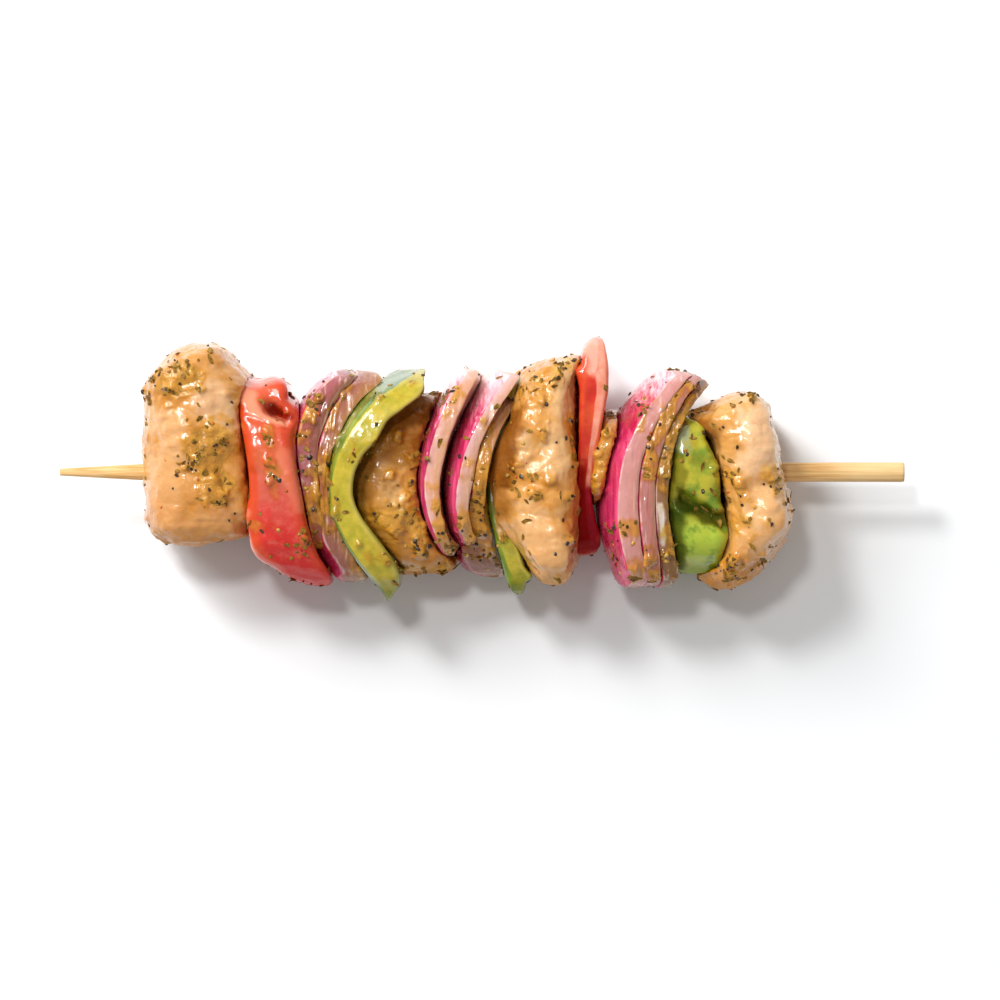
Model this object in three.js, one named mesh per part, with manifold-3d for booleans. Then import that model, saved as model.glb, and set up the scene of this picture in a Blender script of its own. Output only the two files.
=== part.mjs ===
// Chicken kebab skewer: marinated chicken, red onion, green and red pepper on a bamboo stick.
// Millimetres, +Z up. The stick runs along X and the kebab lies on the plane z = 0.
// Each piece is a stack of closed sections along Y, swept by a few named sizes.
import * as THREE from 'three';
import { mergeVertices } from 'three/addons/utils/BufferGeometryUtils.js';
import Module from 'manifold-3d';

const wasm = await Module();
wasm.setup();

// ---- the stick ----
const STICK_LENGTH = 203;      // an 8 inch stick
const STICK_RADIUS = 2.4;      // at the blunt end
const STICK_NECK_RADIUS = 2.05; // where the point starts to taper
const STICK_TIP_RADIUS = 0.85;
const STICK_TAPER = 21;        // length of the tapered point
const STICK_CHAMFER = 0.4;
const STICK_Z = 21;            // height of its axis

// ---- fits ----
const BORE_GAP = 0.3;          // between the stick and the food
const GAP = 0.35;              // between neighbouring pieces
const LUMP = 0.035;            // unevenness of the meat, as a share of its size

// ---- how finely a piece is cut into facets ----
const FACETS = { chicken: [16, 10], onion: [14, 9], green: [14, 10], red: [14, 10] };

// How square the ends of each kind are, unless a piece has its own, and the corner radius of its section
// as a share of its thickness. Meat has a rounded section instead.
const END = { chicken: 3.6, onion: 14, green: 9, red: 7 };
const CORNER = { onion: 0.28, green: 0.45, red: 0.4 };

// ---- the pieces, from the pointed end ----
// y, tall      middle and half height of the piece across the stick
// x            middle of the piece along the stick
// lean, bow, hook, curl, twist   how its middle line bends away along X
// thick, taper, belly, flare, swell   half thickness, and how it changes with height
// z, rise, crown, deep           middle and half depth in Z, and how it changes
// square, round                  the outline seen along the stick
// cup, cupLean, cupBow           how far a petal's rims curl towards +X
// end          how square its two ends are, where that differs from its kind
const PIECES = [
  { name: 'chicken_1', kind: 'chicken', y: 6.3, tall: 23.6,
    x: -67.3, lean: 0.1, bow: -0.3, hook: -0.2,
    thick: 13.3, taper: 0.0, belly: -0.2,
    z: 21.1, rise: 0.6, crown: 1.3, deep: 22.8, square: 5.5, round: 0.35, end: 7, },
  { name: 'red_pepper_1', kind: 'red', y: -2.0, tall: 24.9,
    x: -49.1, lean: -4.1, bow: -0.3, hook: -0.7, curl: 2.8, twist: -1.6,
    thick: 5.7, taper: -0.5, belly: 0.3, flare: 0.8,
    z: 22.1, rise: 1.6, crown: -0.2, deep: 19.8, square: 3.0, round: 0.35, end: 10, },
  { name: 'onion_1a', kind: 'onion', y: 4.3, tall: 20.1,
    x: -43.0, lean: -1.7, bow: 5.0, hook: 5.2,
    thick: 2.5, taper: 0.7, belly: -1.1,
    z: 20.9, rise: 0.6, crown: 3.1, deep: 17.2, square: 3.0, round: 0.35,
    cup: 1.8, cupLean: 1.2, cupBow: 0.1, },
  { name: 'onion_1b', kind: 'onion', y: -1.0, tall: 25.2,
    x: -39.1, lean: -0.6, bow: 7.5, hook: 2.2,
    thick: 1.6, taper: -0.3, belly: 0.8,
    z: 20.5, rise: 2.0, crown: 1.3, deep: 17.7, square: 2.0, round: 0.35,
    cup: 1.3, cupLean: -0.1, cupBow: 2.3, },
  { name: 'green_pepper_1', kind: 'green', y: -3.1, tall: 27.6,
    x: -34.5, lean: -0.9, bow: 23.1, hook: -3.5, curl: -10.0, twist: 6.0,
    thick: 2.8, taper: -0.2, belly: 9.2, flare: 1.0, swell: -11.0,
    z: 22.9, rise: 2.5, crown: 2.9, deep: 20.3, square: 3.0, round: 0.50,
    cup: 1.4, cupLean: 3.4, cupBow: 2.5, },
  { name: 'chicken_2', kind: 'chicken', y: -2.7, tall: 21.9,
    x: -22.6, lean: -1.4, bow: 9.3, hook: -0.7,
    thick: 10.6, taper: -0.9, belly: 0.2,
    z: 17.7, rise: 1.0, crown: 0.2, deep: 19.4, square: 2.5, round: 0.35, end: 4.5, },
  { name: 'onion_2', kind: 'onion', y: 2.4, tall: 22.6,
    x: -12.7, lean: 3.3, bow: 6.7, hook: -1.4,
    thick: 2.4, taper: 0.4, belly: -0.5,
    z: 22.1, rise: 1.5, crown: 2.8, deep: 18.5, square: 2.5, round: 0.35,
    cup: 1.6, cupLean: 1.1, cupBow: -0.3, },
  { name: 'onion_3a', kind: 'onion', y: 3.3, tall: 21.1,
    x: -6.7, lean: 4.6, bow: 5.5, hook: -1.1,
    thick: 1.9, taper: 0.1, belly: 0.2,
    z: 21.9, rise: 0.9, crown: 2.0, deep: 19.2, square: 2.5, round: 0.35,
    cup: 3.3, cupLean: 2.4, cupBow: 1.1, },
  { name: 'onion_3b', kind: 'onion', y: -2.3, tall: 22.9,
    x: -2.8, lean: 1.2, bow: 1.3, hook: 9.2, curl: 4.4, twist: -8.9,
    thick: 1.6, taper: -0.1, belly: 1.2, flare: -1.3,
    z: 21.4, rise: 4.8, crown: -4.1, deep: 18.5, square: 1.5, round: 0.35,
    cup: 2.5, cupLean: 1.7, cupBow: 0.2, },
  { name: 'green_pepper_2', kind: 'green', y: -3.2, tall: 26.1,
    x: 2.4, lean: -1.9, bow: 9.7, hook: 0.1, curl: -4.5, twist: 0.9,
    thick: 1.6, taper: -1.4, belly: 1.1, flare: 1.5,
    z: 17.8, rise: 1.5, crown: 4.7, deep: 14.8, square: 4.0, round: 0.35,
    cup: 0.4, cupLean: 0.3, cupBow: -0.1, },
  { name: 'chicken_3', kind: 'chicken', y: -0.4, tall: 27.0,
    x: 13.6, lean: -0.5, bow: 3.8, hook: 0.9,
    thick: 9.5, taper: 0.5, belly: -3.5,
    z: 21.3, rise: 0.7, crown: 1.0, deep: 22.7, square: 5.5, round: 0.35, end: 6, },
  { name: 'red_pepper_2', kind: 'red', y: 6.2, tall: 26.1,
    x: 25.0, lean: 3.2, bow: 1.5, hook: -6.6, curl: -0.5, twist: 4.0,
    thick: 2.3, taper: 2.1, belly: 1.7, flare: -3.3,
    z: 20.7, rise: 6.6, crown: 0.6, deep: 16.8, square: 2.5, round: 0.35,
    cup: 0.1, cupLean: 0.5, cupBow: 0.4, },
  { name: 'chicken_scrap', kind: 'chicken', y: 3.1, tall: 11.3,
    x: 27.8, lean: 1.7, bow: 0.7, hook: 0.2,
    thick: 2.2, taper: 0.6, belly: 0.3,
    z: 23.0, rise: 1.2, crown: -0.1, deep: 15.8, square: 4.5, round: 0.70, end: 3, },
  { name: 'onion_4a', kind: 'onion', y: -1.5, tall: 26.1,
    x: 30.1, lean: 2.1, bow: 8.7, hook: 2.0,
    thick: 2.2, taper: -0.0, belly: -0.1,
    z: 21.8, rise: 0.9, crown: 2.0, deep: 20.2, square: 3.0, round: 0.35,
    cup: 4.7, cupLean: 1.8, cupBow: 0.0, },
  { name: 'onion_4b', kind: 'onion', y: -1.8, tall: 25.8,
    x: 34.7, lean: 1.2, bow: 8.0, hook: 2.9,
    thick: 1.8, taper: -0.1, belly: -0.2,
    z: 22.0, rise: 0.9, crown: 2.1, deep: 19.4, square: 3.0, round: 0.35,
    cup: 4.7, cupLean: 1.6, cupBow: -0.3, },
  { name: 'onion_4c', kind: 'onion', y: -2.5, tall: 25.3,
    x: 38.4, lean: 0.7, bow: 8.2, hook: 3.2,
    thick: 1.4, taper: -0.4, belly: 0.4,
    z: 21.6, rise: 0.9, crown: 1.9, deep: 19.1, square: 2.5, round: 0.35,
    cup: 4.4, cupLean: 0.9, cupBow: -0.9, },
  { name: 'green_pepper_3', kind: 'green', y: -5.0, tall: 19.6,
    x: 50.7, lean: 0.4, bow: 0.4, hook: -6.7, curl: -1.3, twist: 5.4,
    thick: 6.1, taper: -1.2, belly: -3.2, flare: -1.3,
    z: 20.4, rise: 2.0, crown: 1.7, deep: 18.3, square: 3.0, round: 0.35, end: 10, },
  { name: 'chicken_4', kind: 'chicken', y: -3.9, tall: 23.2,
    x: 64.6, lean: -6.0, bow: -6.2, hook: 12.9, curl: 2.4, twist: -5.8,
    thick: 8.3, taper: 0.8, belly: -1.6, flare: -0.5,
    z: 19.9, rise: 1.5, crown: 0.3, deep: 21.0, square: 4.5, round: 0.35, end: 5, },
];

const poly = (v, ...c) => c.reduceRight((sum, k) => sum * v + (k ?? 0), 0);
const power = (t, e) => Math.sign(t) * Math.abs(t) ** e;

// Unit section of a cut slab: a tall rounded rectangle, half sizes hx and hz.
function slabSection(hx, hz, corner, count) {
  const r = Math.min(hx, hz) * corner;
  const side = (count - 8) / 2;
  const out = [];
  const arc = (cx, cz, from) => {
    for (let i = 0; i < 2; i++) {
      const a = from + (i * Math.PI) / 2;
      out.push([cx + r * Math.cos(a), cz + r * Math.sin(a)]);
    }
  };
  const run = (x, z0, z1) => {
    for (let i = 1; i <= side; i++) out.push([x, z0 + ((z1 - z0) * i) / (side + 1)]);
  };
  run(hx, -hz + r, hz - r);
  arc(hx - r, hz - r, 0);
  arc(-hx + r, hz - r, Math.PI / 2);
  run(-hx, hz - r, -hz + r);
  arc(-hx + r, -hz + r, Math.PI);
  arc(hx - r, -hz + r, (3 * Math.PI) / 2);
  return out;
}

// Unit section of a lump of meat: a superellipse.
function meatSection(hx, hz, count) {
  const out = [];
  for (let i = 0; i < count; i++) {
    const a = (i / count) * 2 * Math.PI;
    out.push([hx * power(Math.cos(a), 2 / 3), hz * power(Math.sin(a), 2 / 3)]);
  }
  return out;
}

// Gentle unevenness, different on every piece of meat.
function lumps(v, a, phase) {
  return 1 + LUMP * (Math.sin(2 * a + phase) * Math.cos(2.3 * v + phase)
    + 0.7 * Math.sin(3 * a - 1.7 * phase + 2.9 * v)
    + 0.5 * Math.cos(5 * a + 4.1 * v + 2.3 * phase));
}

function pieceGeometry(p, index) {
  const [around, rows] = FACETS[p.kind];
  const positions = [];
  const indices = [];
  for (let j = 0; j <= rows; j++) {
    // rows crowd towards the two ends, and stop just short of a pole
    const v = -Math.cos((Math.PI * (j + 0.45)) / (rows + 0.9));
    const y = p.y + p.tall * v;
    const u = Math.abs(v);
    const endX = (1 - u ** (p.end ?? END[p.kind])) ** 0.5;
    const endZ = (1 - u ** p.square) ** p.round;
    const hx = Math.max(0.5, poly(v, p.thick, p.taper, p.belly, p.flare, p.swell)) * endX;
    const hz = p.deep * endZ;
    const xm = poly(v, p.x, p.lean, p.bow, p.hook, p.curl, p.twist);
    const zm = poly(v, p.z, p.rise, p.crown);
    const cup = poly(v, p.cup, p.cupLean, p.cupBow);
    const meat = p.kind === 'chicken';
    const ring = meat ? meatSection(hx, hz, around) : slabSection(hx, hz, CORNER[p.kind], around);
    for (const [dx, dz] of ring) {
      const k = meat ? lumps(v, Math.atan2(dz / hz, dx / hx), index * 1.3) : 1;
      const w = dz / hz;
      positions.push(xm + dx * k + cup * w * w, y, Math.max(0, zm + dz * k));
    }
  }
  const ringStart = (j) => j * around;
  for (let j = 0; j < rows; j++) {
    for (let i = 0; i < around; i++) {
      const a = ringStart(j) + i;
      const b = ringStart(j) + ((i + 1) % around);
      const c = ringStart(j + 1) + i;
      const d = ringStart(j + 1) + ((i + 1) % around);
      indices.push(a, b, d, a, d, c);
    }
  }
  // close both ends with a fan round the middle of the last ring
  for (const [j, flip] of [[0, true], [rows, false]]) {
    const mid = [0, 0, 0];
    for (let i = 0; i < around; i++) for (let k = 0; k < 3; k++) mid[k] += positions[3 * (ringStart(j) + i) + k] / around;
    mid[1] += (flip ? -1 : 1) * 0.15;
    const m = positions.length / 3;
    positions.push(...mid);
    for (let i = 0; i < around; i++) {
      const a = ringStart(j) + i;
      const b = ringStart(j) + ((i + 1) % around);
      if (flip) indices.push(m, b, a); else indices.push(m, a, b);
    }
  }
  // faces point outwards
  for (let i = 0; i < indices.length; i += 3) [indices[i + 1], indices[i + 2]] = [indices[i + 2], indices[i + 1]];
  const g = new THREE.BufferGeometry();
  g.setAttribute('position', new THREE.Float32BufferAttribute(positions, 3));
  g.setIndex(indices);
  return g;
}

// The same piece moved outwards all over, as its neighbours' clearance.
function grownGeometry(p, index) {
  const g = pieceGeometry(p, index);
  g.computeVertexNormals();
  const { position, normal } = g.attributes;
  for (let i = 0; i < position.count; i++) {
    position.setXYZ(i, position.getX(i) + GAP * normal.getX(i),
      position.getY(i) + GAP * normal.getY(i), position.getZ(i) + GAP * normal.getZ(i));
  }
  return g;
}

// The stick, or with a larger radius the bore that it leaves in the food.
function stickGeometry(extra = 0) {
  const half = STICK_LENGTH / 2 + (extra ? 1 : 0);
  const profile = extra
    ? [[0, -half], [STICK_RADIUS + extra, -half], [STICK_RADIUS + extra, half], [0, half]]
    : [[0, -half], [STICK_TIP_RADIUS, -half + 0.2], [STICK_NECK_RADIUS, -half + STICK_TAPER],
      [STICK_RADIUS, half - STICK_CHAMFER], [STICK_RADIUS - STICK_CHAMFER, half], [0, half]];
  const g = new THREE.LatheGeometry(profile.map(([r, x]) => new THREE.Vector2(r, x)), 20);
  g.rotateZ(-Math.PI / 2);
  g.translate(0, 0, STICK_Z);
  return g;
}

function toSolid(geometry) {
  const g = geometry.clone();
  g.deleteAttribute('normal');
  g.deleteAttribute('uv');
  const m = mergeVertices(g, 1e-4);
  const tri = [];
  const idx = m.index.array;
  for (let i = 0; i < idx.length; i += 3) {
    const [a, b, c] = [idx[i], idx[i + 1], idx[i + 2]];
    if (a !== b && b !== c && c !== a) tri.push(a, b, c);
  }
  const solid = new wasm.Manifold(new wasm.Mesh({
    numProp: 3, vertProperties: new Float32Array(m.attributes.position.array), triVerts: new Uint32Array(tri),
  }));
  if (solid.volume() > 0) return solid;
  for (let i = 0; i < tri.length; i += 3) [tri[i + 1], tri[i + 2]] = [tri[i + 2], tri[i + 1]];
  return new wasm.Manifold(new wasm.Mesh({
    numProp: 3, vertProperties: new Float32Array(m.attributes.position.array), triVerts: new Uint32Array(tri),
  }));
}

function toGeometry(solid) {
  const mesh = solid.getMesh();
  const g = new THREE.BufferGeometry();
  g.setAttribute('position', new THREE.Float32BufferAttribute(new Float32Array(mesh.vertProperties), 3));
  g.setIndex(Array.from(mesh.triVerts));
  g.computeVertexNormals();
  return g;
}

// Only the largest body of a cut piece stays.
function largest(solid) {
  return solid.decompose().reduce((a, b) => (b.volume() > a.volume() ? b : a));
}

const boxOf = (s) => s.boundingBox();
const near = (a, b) => [0, 1, 2].every((k) => a.min[k] <= b.max[k] && b.min[k] <= a.max[k]);

// Firm pieces keep their shape, and the soft meat gives way to them.
const order = PIECES.map((p, i) => i).sort((a, b) =>
  (PIECES[a].kind === 'chicken') - (PIECES[b].kind === 'chicken') || a - b);
const bore = toSolid(stickGeometry(BORE_GAP));
const done = [];
const solids = new Array(PIECES.length);
for (const i of order) {
  let s = toSolid(pieceGeometry(PIECES[i], i));
  for (const d of done) if (near(boxOf(s), boxOf(d.grown))) s = s.subtract(d.grown.add(d.own));
  s = largest(s.subtract(bore));
  solids[i] = s;
  done.push({ own: toSolid(pieceGeometry(PIECES[i], i)), grown: toSolid(grownGeometry(PIECES[i], i)) });
}

const FINISH = {
  stick: { color: 0xe6c682, roughness: 0.7 },
  chicken: { color: 0xe5b282, roughness: 0.35 },
  onion: { color: 0xe0a9b4, roughness: 0.3 },
  green: { color: 0x7d9a35, roughness: 0.25 },
  red: { color: 0xc8281e, roughness: 0.25 },
};
const finish = (kind) => new THREE.MeshStandardMaterial({ ...FINISH[kind], metalness: 0 });

const kebab = new THREE.Group();
const add = (name, geometry, kind) => {
  const mesh = new THREE.Mesh(geometry, finish(kind));
  mesh.name = name;
  kebab.add(mesh);
};
add('stick', toGeometry(toSolid(stickGeometry())), 'stick');
PIECES.forEach((p, i) => add(p.name, toGeometry(solids[i]), p.kind));

// The origin is under the middle of the whole kebab, on the plane it lies on.
const box = new THREE.Box3().setFromObject(kebab);
const middle = box.getCenter(new THREE.Vector3());
for (const mesh of kebab.children) mesh.geometry.translate(-middle.x, -middle.y, -box.min.z);

export default kebab;
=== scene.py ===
"""Looks of the chicken kebab skewer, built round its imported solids.

Every piece repeats the named sizes of its solid, at a much finer grid, and then gets
its own relief, its contact with its neighbours, and a procedural material.
"""
import math

import bpy
import numpy as np
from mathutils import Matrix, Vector
from mathutils.bvhtree import BVHTree


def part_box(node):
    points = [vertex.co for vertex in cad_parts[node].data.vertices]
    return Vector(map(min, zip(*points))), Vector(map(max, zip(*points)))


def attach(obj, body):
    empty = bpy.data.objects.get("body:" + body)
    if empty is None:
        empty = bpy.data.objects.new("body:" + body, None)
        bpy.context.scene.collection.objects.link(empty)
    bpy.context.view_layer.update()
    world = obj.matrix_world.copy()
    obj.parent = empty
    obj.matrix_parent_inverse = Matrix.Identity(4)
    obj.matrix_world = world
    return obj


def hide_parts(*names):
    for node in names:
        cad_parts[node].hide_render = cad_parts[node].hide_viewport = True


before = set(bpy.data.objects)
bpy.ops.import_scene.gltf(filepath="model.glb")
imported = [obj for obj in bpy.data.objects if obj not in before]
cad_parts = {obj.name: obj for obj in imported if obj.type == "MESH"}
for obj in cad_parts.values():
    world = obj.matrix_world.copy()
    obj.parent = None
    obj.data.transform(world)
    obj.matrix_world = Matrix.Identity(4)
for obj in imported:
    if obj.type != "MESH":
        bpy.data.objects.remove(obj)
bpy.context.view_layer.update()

MM = 0.001

# ---------------------------------------------------------------- named sizes, in mm
STICK = dict(length=203.0, radius=2.4, neck=2.05, tip=0.85, taper=21.0, z=21.0)
END = dict(chicken=3.6, onion=14.0, green=9.0, red=7.0)
CORNER = dict(onion=0.28, green=0.45, red=0.4)

PIECES = [
  dict(name='chicken_1', kind='chicken', y=6.3, tall=23.6,
    x=-67.3, lean=0.1, bow=-0.3, hook=-0.2,
    thick=13.3, taper=0.0, belly=-0.2,
    z=21.1, rise=0.6, crown=1.3, deep=22.8, square=5.5, round=0.35, end=7),
  dict(name='red_pepper_1', kind='red', y=-2.0, tall=24.9,
    x=-49.1, lean=-4.1, bow=-0.3, hook=-0.7, curl=2.8, twist=-1.6,
    thick=5.7, taper=-0.5, belly=0.3, flare=0.8,
    z=22.1, rise=1.6, crown=-0.2, deep=19.8, square=3.0, round=0.35, end=10),
  dict(name='onion_1a', kind='onion', y=4.3, tall=20.1,
    x=-43.0, lean=-1.7, bow=5.0, hook=5.2,
    thick=2.5, taper=0.7, belly=-1.1,
    z=20.9, rise=0.6, crown=3.1, deep=17.2, square=3.0, round=0.35,
    cup=1.8, cupLean=1.2, cupBow=0.1),
  dict(name='onion_1b', kind='onion', y=-1.0, tall=25.2,
    x=-39.1, lean=-0.6, bow=7.5, hook=2.2,
    thick=1.6, taper=-0.3, belly=0.8,
    z=20.5, rise=2.0, crown=1.3, deep=17.7, square=2.0, round=0.35,
    cup=1.3, cupLean=-0.1, cupBow=2.3),
  dict(name='green_pepper_1', kind='green', y=-3.1, tall=27.6,
    x=-34.5, lean=-0.9, bow=23.1, hook=-3.5, curl=-10.0, twist=6.0,
    thick=2.8, taper=-0.2, belly=9.2, flare=1.0, swell=-11.0,
    z=22.9, rise=2.5, crown=2.9, deep=20.3, square=3.0, round=0.50,
    cup=1.4, cupLean=3.4, cupBow=2.5),
  dict(name='chicken_2', kind='chicken', y=-2.7, tall=21.9,
    x=-22.6, lean=-1.4, bow=9.3, hook=-0.7,
    thick=10.6, taper=-0.9, belly=0.2,
    z=17.7, rise=1.0, crown=0.2, deep=19.4, square=2.5, round=0.35, end=4.5),
  dict(name='onion_2', kind='onion', y=2.4, tall=22.6,
    x=-12.7, lean=3.3, bow=6.7, hook=-1.4,
    thick=2.4, taper=0.4, belly=-0.5,
    z=22.1, rise=1.5, crown=2.8, deep=18.5, square=2.5, round=0.35,
    cup=1.6, cupLean=1.1, cupBow=-0.3),
  dict(name='onion_3a', kind='onion', y=3.3, tall=21.1,
    x=-6.7, lean=4.6, bow=5.5, hook=-1.1,
    thick=1.9, taper=0.1, belly=0.2,
    z=21.9, rise=0.9, crown=2.0, deep=19.2, square=2.5, round=0.35,
    cup=3.3, cupLean=2.4, cupBow=1.1),
  dict(name='onion_3b', kind='onion', y=-2.3, tall=22.9,
    x=-2.8, lean=1.2, bow=1.3, hook=9.2, curl=4.4, twist=-8.9,
    thick=1.6, taper=-0.1, belly=1.2, flare=-1.3,
    z=21.4, rise=4.8, crown=-4.1, deep=18.5, square=1.5, round=0.35,
    cup=2.5, cupLean=1.7, cupBow=0.2),
  dict(name='green_pepper_2', kind='green', y=-3.2, tall=26.1,
    x=2.4, lean=-1.9, bow=9.7, hook=0.1, curl=-4.5, twist=0.9,
    thick=1.6, taper=-1.4, belly=1.1, flare=1.5,
    z=17.8, rise=1.5, crown=4.7, deep=14.8, square=4.0, round=0.35,
    cup=0.4, cupLean=0.3, cupBow=-0.1),
  dict(name='chicken_3', kind='chicken', y=-0.4, tall=27.0,
    x=13.6, lean=-0.5, bow=3.8, hook=0.9,
    thick=9.5, taper=0.5, belly=-3.5,
    z=21.3, rise=0.7, crown=1.0, deep=22.7, square=5.5, round=0.35, end=6),
  dict(name='red_pepper_2', kind='red', y=6.2, tall=26.1,
    x=25.0, lean=3.2, bow=1.5, hook=-6.6, curl=-0.5, twist=4.0,
    thick=2.3, taper=2.1, belly=1.7, flare=-3.3,
    z=20.7, rise=6.6, crown=0.6, deep=16.8, square=2.5, round=0.35,
    cup=0.1, cupLean=0.5, cupBow=0.4),
  dict(name='chicken_scrap', kind='chicken', y=3.1, tall=11.3,
    x=27.8, lean=1.7, bow=0.7, hook=0.2,
    thick=2.2, taper=0.6, belly=0.3,
    z=23.0, rise=1.2, crown=-0.1, deep=15.8, square=4.5, round=0.70, end=3),
  dict(name='onion_4a', kind='onion', y=-1.5, tall=26.1,
    x=30.1, lean=2.1, bow=8.7, hook=2.0,
    thick=2.2, taper=-0.0, belly=-0.1,
    z=21.8, rise=0.9, crown=2.0, deep=20.2, square=3.0, round=0.35,
    cup=4.7, cupLean=1.8, cupBow=0.0),
  dict(name='onion_4b', kind='onion', y=-1.8, tall=25.8,
    x=34.7, lean=1.2, bow=8.0, hook=2.9,
    thick=1.8, taper=-0.1, belly=-0.2,
    z=22.0, rise=0.9, crown=2.1, deep=19.4, square=3.0, round=0.35,
    cup=4.7, cupLean=1.6, cupBow=-0.3),
  dict(name='onion_4c', kind='onion', y=-2.5, tall=25.3,
    x=38.4, lean=0.7, bow=8.2, hook=3.2,
    thick=1.4, taper=-0.4, belly=0.4,
    z=21.6, rise=0.9, crown=1.9, deep=19.1, square=2.5, round=0.35,
    cup=4.4, cupLean=0.9, cupBow=-0.9),
  dict(name='green_pepper_3', kind='green', y=-5.0, tall=19.6,
    x=50.7, lean=0.4, bow=0.4, hook=-6.7, curl=-1.3, twist=5.4,
    thick=6.1, taper=-1.2, belly=-3.2, flare=-1.3,
    z=20.4, rise=2.0, crown=1.7, deep=18.3, square=3.0, round=0.35, end=10),
  dict(name='chicken_4', kind='chicken', y=-3.9, tall=23.2,
    x=64.6, lean=-6.0, bow=-6.2, hook=12.9, curl=2.4, twist=-5.8,
    thick=8.3, taper=0.8, belly=-1.6, flare=-0.5,
    z=19.9, rise=1.5, crown=0.3, deep=21.0, square=4.5, round=0.35, end=5),
]
INDEX = {p["name"]: i for i, p in enumerate(PIECES)}

# where the stick's middle is in the frame: the pieces are set out round it
lo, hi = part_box("stick")
SHIFT = np.array([(lo[0] + hi[0]) / 2, (lo[1] + hi[1]) / 2, (lo[2] + hi[2]) / 2 - STICK["z"] * MM]) / MM


# ---------------------------------------------------------------- noise
_rng = np.random.default_rng(11)
_PERM = np.tile(_rng.permutation(256), 3)
_GRAD = _rng.normal(size=(256, 3))
_GRAD /= np.linalg.norm(_GRAD, axis=1)[:, None]


def perlin(p):
    i = np.floor(p).astype(np.int64)
    f = p - i
    i &= 255
    u = f * f * f * (f * (f * 6 - 15) + 10)
    out = np.zeros(len(p))
    for dx in (0, 1):
        wx = u[:, 0] if dx else 1 - u[:, 0]
        a = _PERM[(i[:, 0] + dx) & 255]
        for dy in (0, 1):
            wy = u[:, 1] if dy else 1 - u[:, 1]
            b = _PERM[a + ((i[:, 1] + dy) & 255)]
            for dz in (0, 1):
                wz = u[:, 2] if dz else 1 - u[:, 2]
                g = _GRAD[_PERM[b + ((i[:, 2] + dz) & 255)]]
                out += wx * wy * wz * (g * (f - (dx, dy, dz))).sum(1)
    return out * 1.5


def fbm(p, size, octaves=4, seed=0.0, gain=0.5):
    """Noise in about -1..1 whose largest features are size mm across (one size, or one for each axis)."""
    q = p / np.asarray(size, float) + seed * 13.37
    total, amp, norm = 0.0, 1.0, 0.0
    for _ in range(octaves):
        total = total + amp * perlin(q)
        norm += amp
        amp *= gain
        q = q * 2.03 + 5.1
    return total / norm


def smooth(a, b, x):
    t = np.clip((x - a) / (b - a), 0, 1)
    return t * t * (3 - 2 * t)


# ---------------------------------------------------------------- sections and grids
def poly(v, *c):
    out = 0.0
    for k in reversed(c):
        out = out * v + k
    return out


SIDE, ARC, RIM = 30, 8, 16      # points along each stretch of a slab's section


def slab_ring(hx, hz, corner, side=SIDE, arc=ARC, rim=RIM):
    r = min(hx, hz) * corner
    pts = []
    z = np.linspace(-hz + r, hz - r, side, endpoint=False)
    x = np.linspace(hx - r, -hx + r, rim, endpoint=False)
    a = np.linspace(0, math.pi / 2, arc, endpoint=False)
    c, s = r * np.cos(a), r * np.sin(a)
    pts.append(np.stack([np.full(side, hx), z], 1))
    pts.append(np.stack([hx - r + c, hz - r + s], 1))
    pts.append(np.stack([x, np.full(rim, hz)], 1))
    pts.append(np.stack([-hx + r - s, hz - r + c], 1))
    pts.append(np.stack([np.full(side, -hx), -z], 1))
    pts.append(np.stack([-hx + r - c, -hz + r - s], 1))
    pts.append(np.stack([-x, np.full(rim, -hz)], 1))
    pts.append(np.stack([hx - r + s, -hz + r - c], 1))
    return np.concatenate(pts)


def meat_ring(hx, hz, count):
    a = np.linspace(0, 2 * math.pi, 720, endpoint=False)
    x = np.sign(np.cos(a)) * np.abs(np.cos(a)) ** (2 / 3)
    z = np.sign(np.sin(a)) * np.abs(np.sin(a)) ** (2 / 3)
    x, z = np.append(x, x[0]), np.append(z, z[0])
    # even steps round a section of the usual proportions, the same on every row
    d = np.concatenate([[0], np.cumsum(np.hypot(np.diff(x) * 0.6, np.diff(z)))])
    s = np.linspace(0, d[-1], count, endpoint=False)
    return np.stack([hx * np.interp(s, d, x), hz * np.interp(s, d, z)], 1)


def slab_faces(p, y, z):
    """The two faces of a piece as x over (y, z), and how far outside its outline a point is."""
    v = (y - p["y"]) / p["tall"]
    vc = np.clip(v, -1, 1)
    u = np.abs(vc)
    hz = p["deep"] * (1 - np.minimum(u, 0.995) ** p["square"]) ** p["round"]
    zm = poly(vc, p["z"], p.get("rise", 0), p.get("crown", 0))
    w = np.clip((z - zm) / hz, -1, 1)
    hx = np.maximum(0.5, poly(vc, p["thick"], p["taper"], p["belly"], p.get("flare", 0), p.get("swell", 0)))
    hx = hx * (1 - np.minimum(u, 0.995) ** p.get("end", END[p["kind"]])) ** 0.5
    xm = poly(vc, p["x"], p["lean"], p["bow"], p["hook"], p.get("curl", 0), p.get("twist", 0))
    xm = xm + poly(vc, p.get("cup", 0), p.get("cupLean", 0), p.get("cupBow", 0)) * w * w
    outside = np.hypot(np.maximum(0, np.abs(z - zm) - hz), np.maximum(0, (np.abs(v) - 1) * p["tall"]))
    return xm - hx, xm + hx, outside


def press(x, limit, side, soft=0.9):
    """Keeps x on one side of limit (side +1: x stays above it), rounding the contact."""
    d = side * (x - limit)
    return limit + side * soft * np.logaddexp(0, d / soft)


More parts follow.
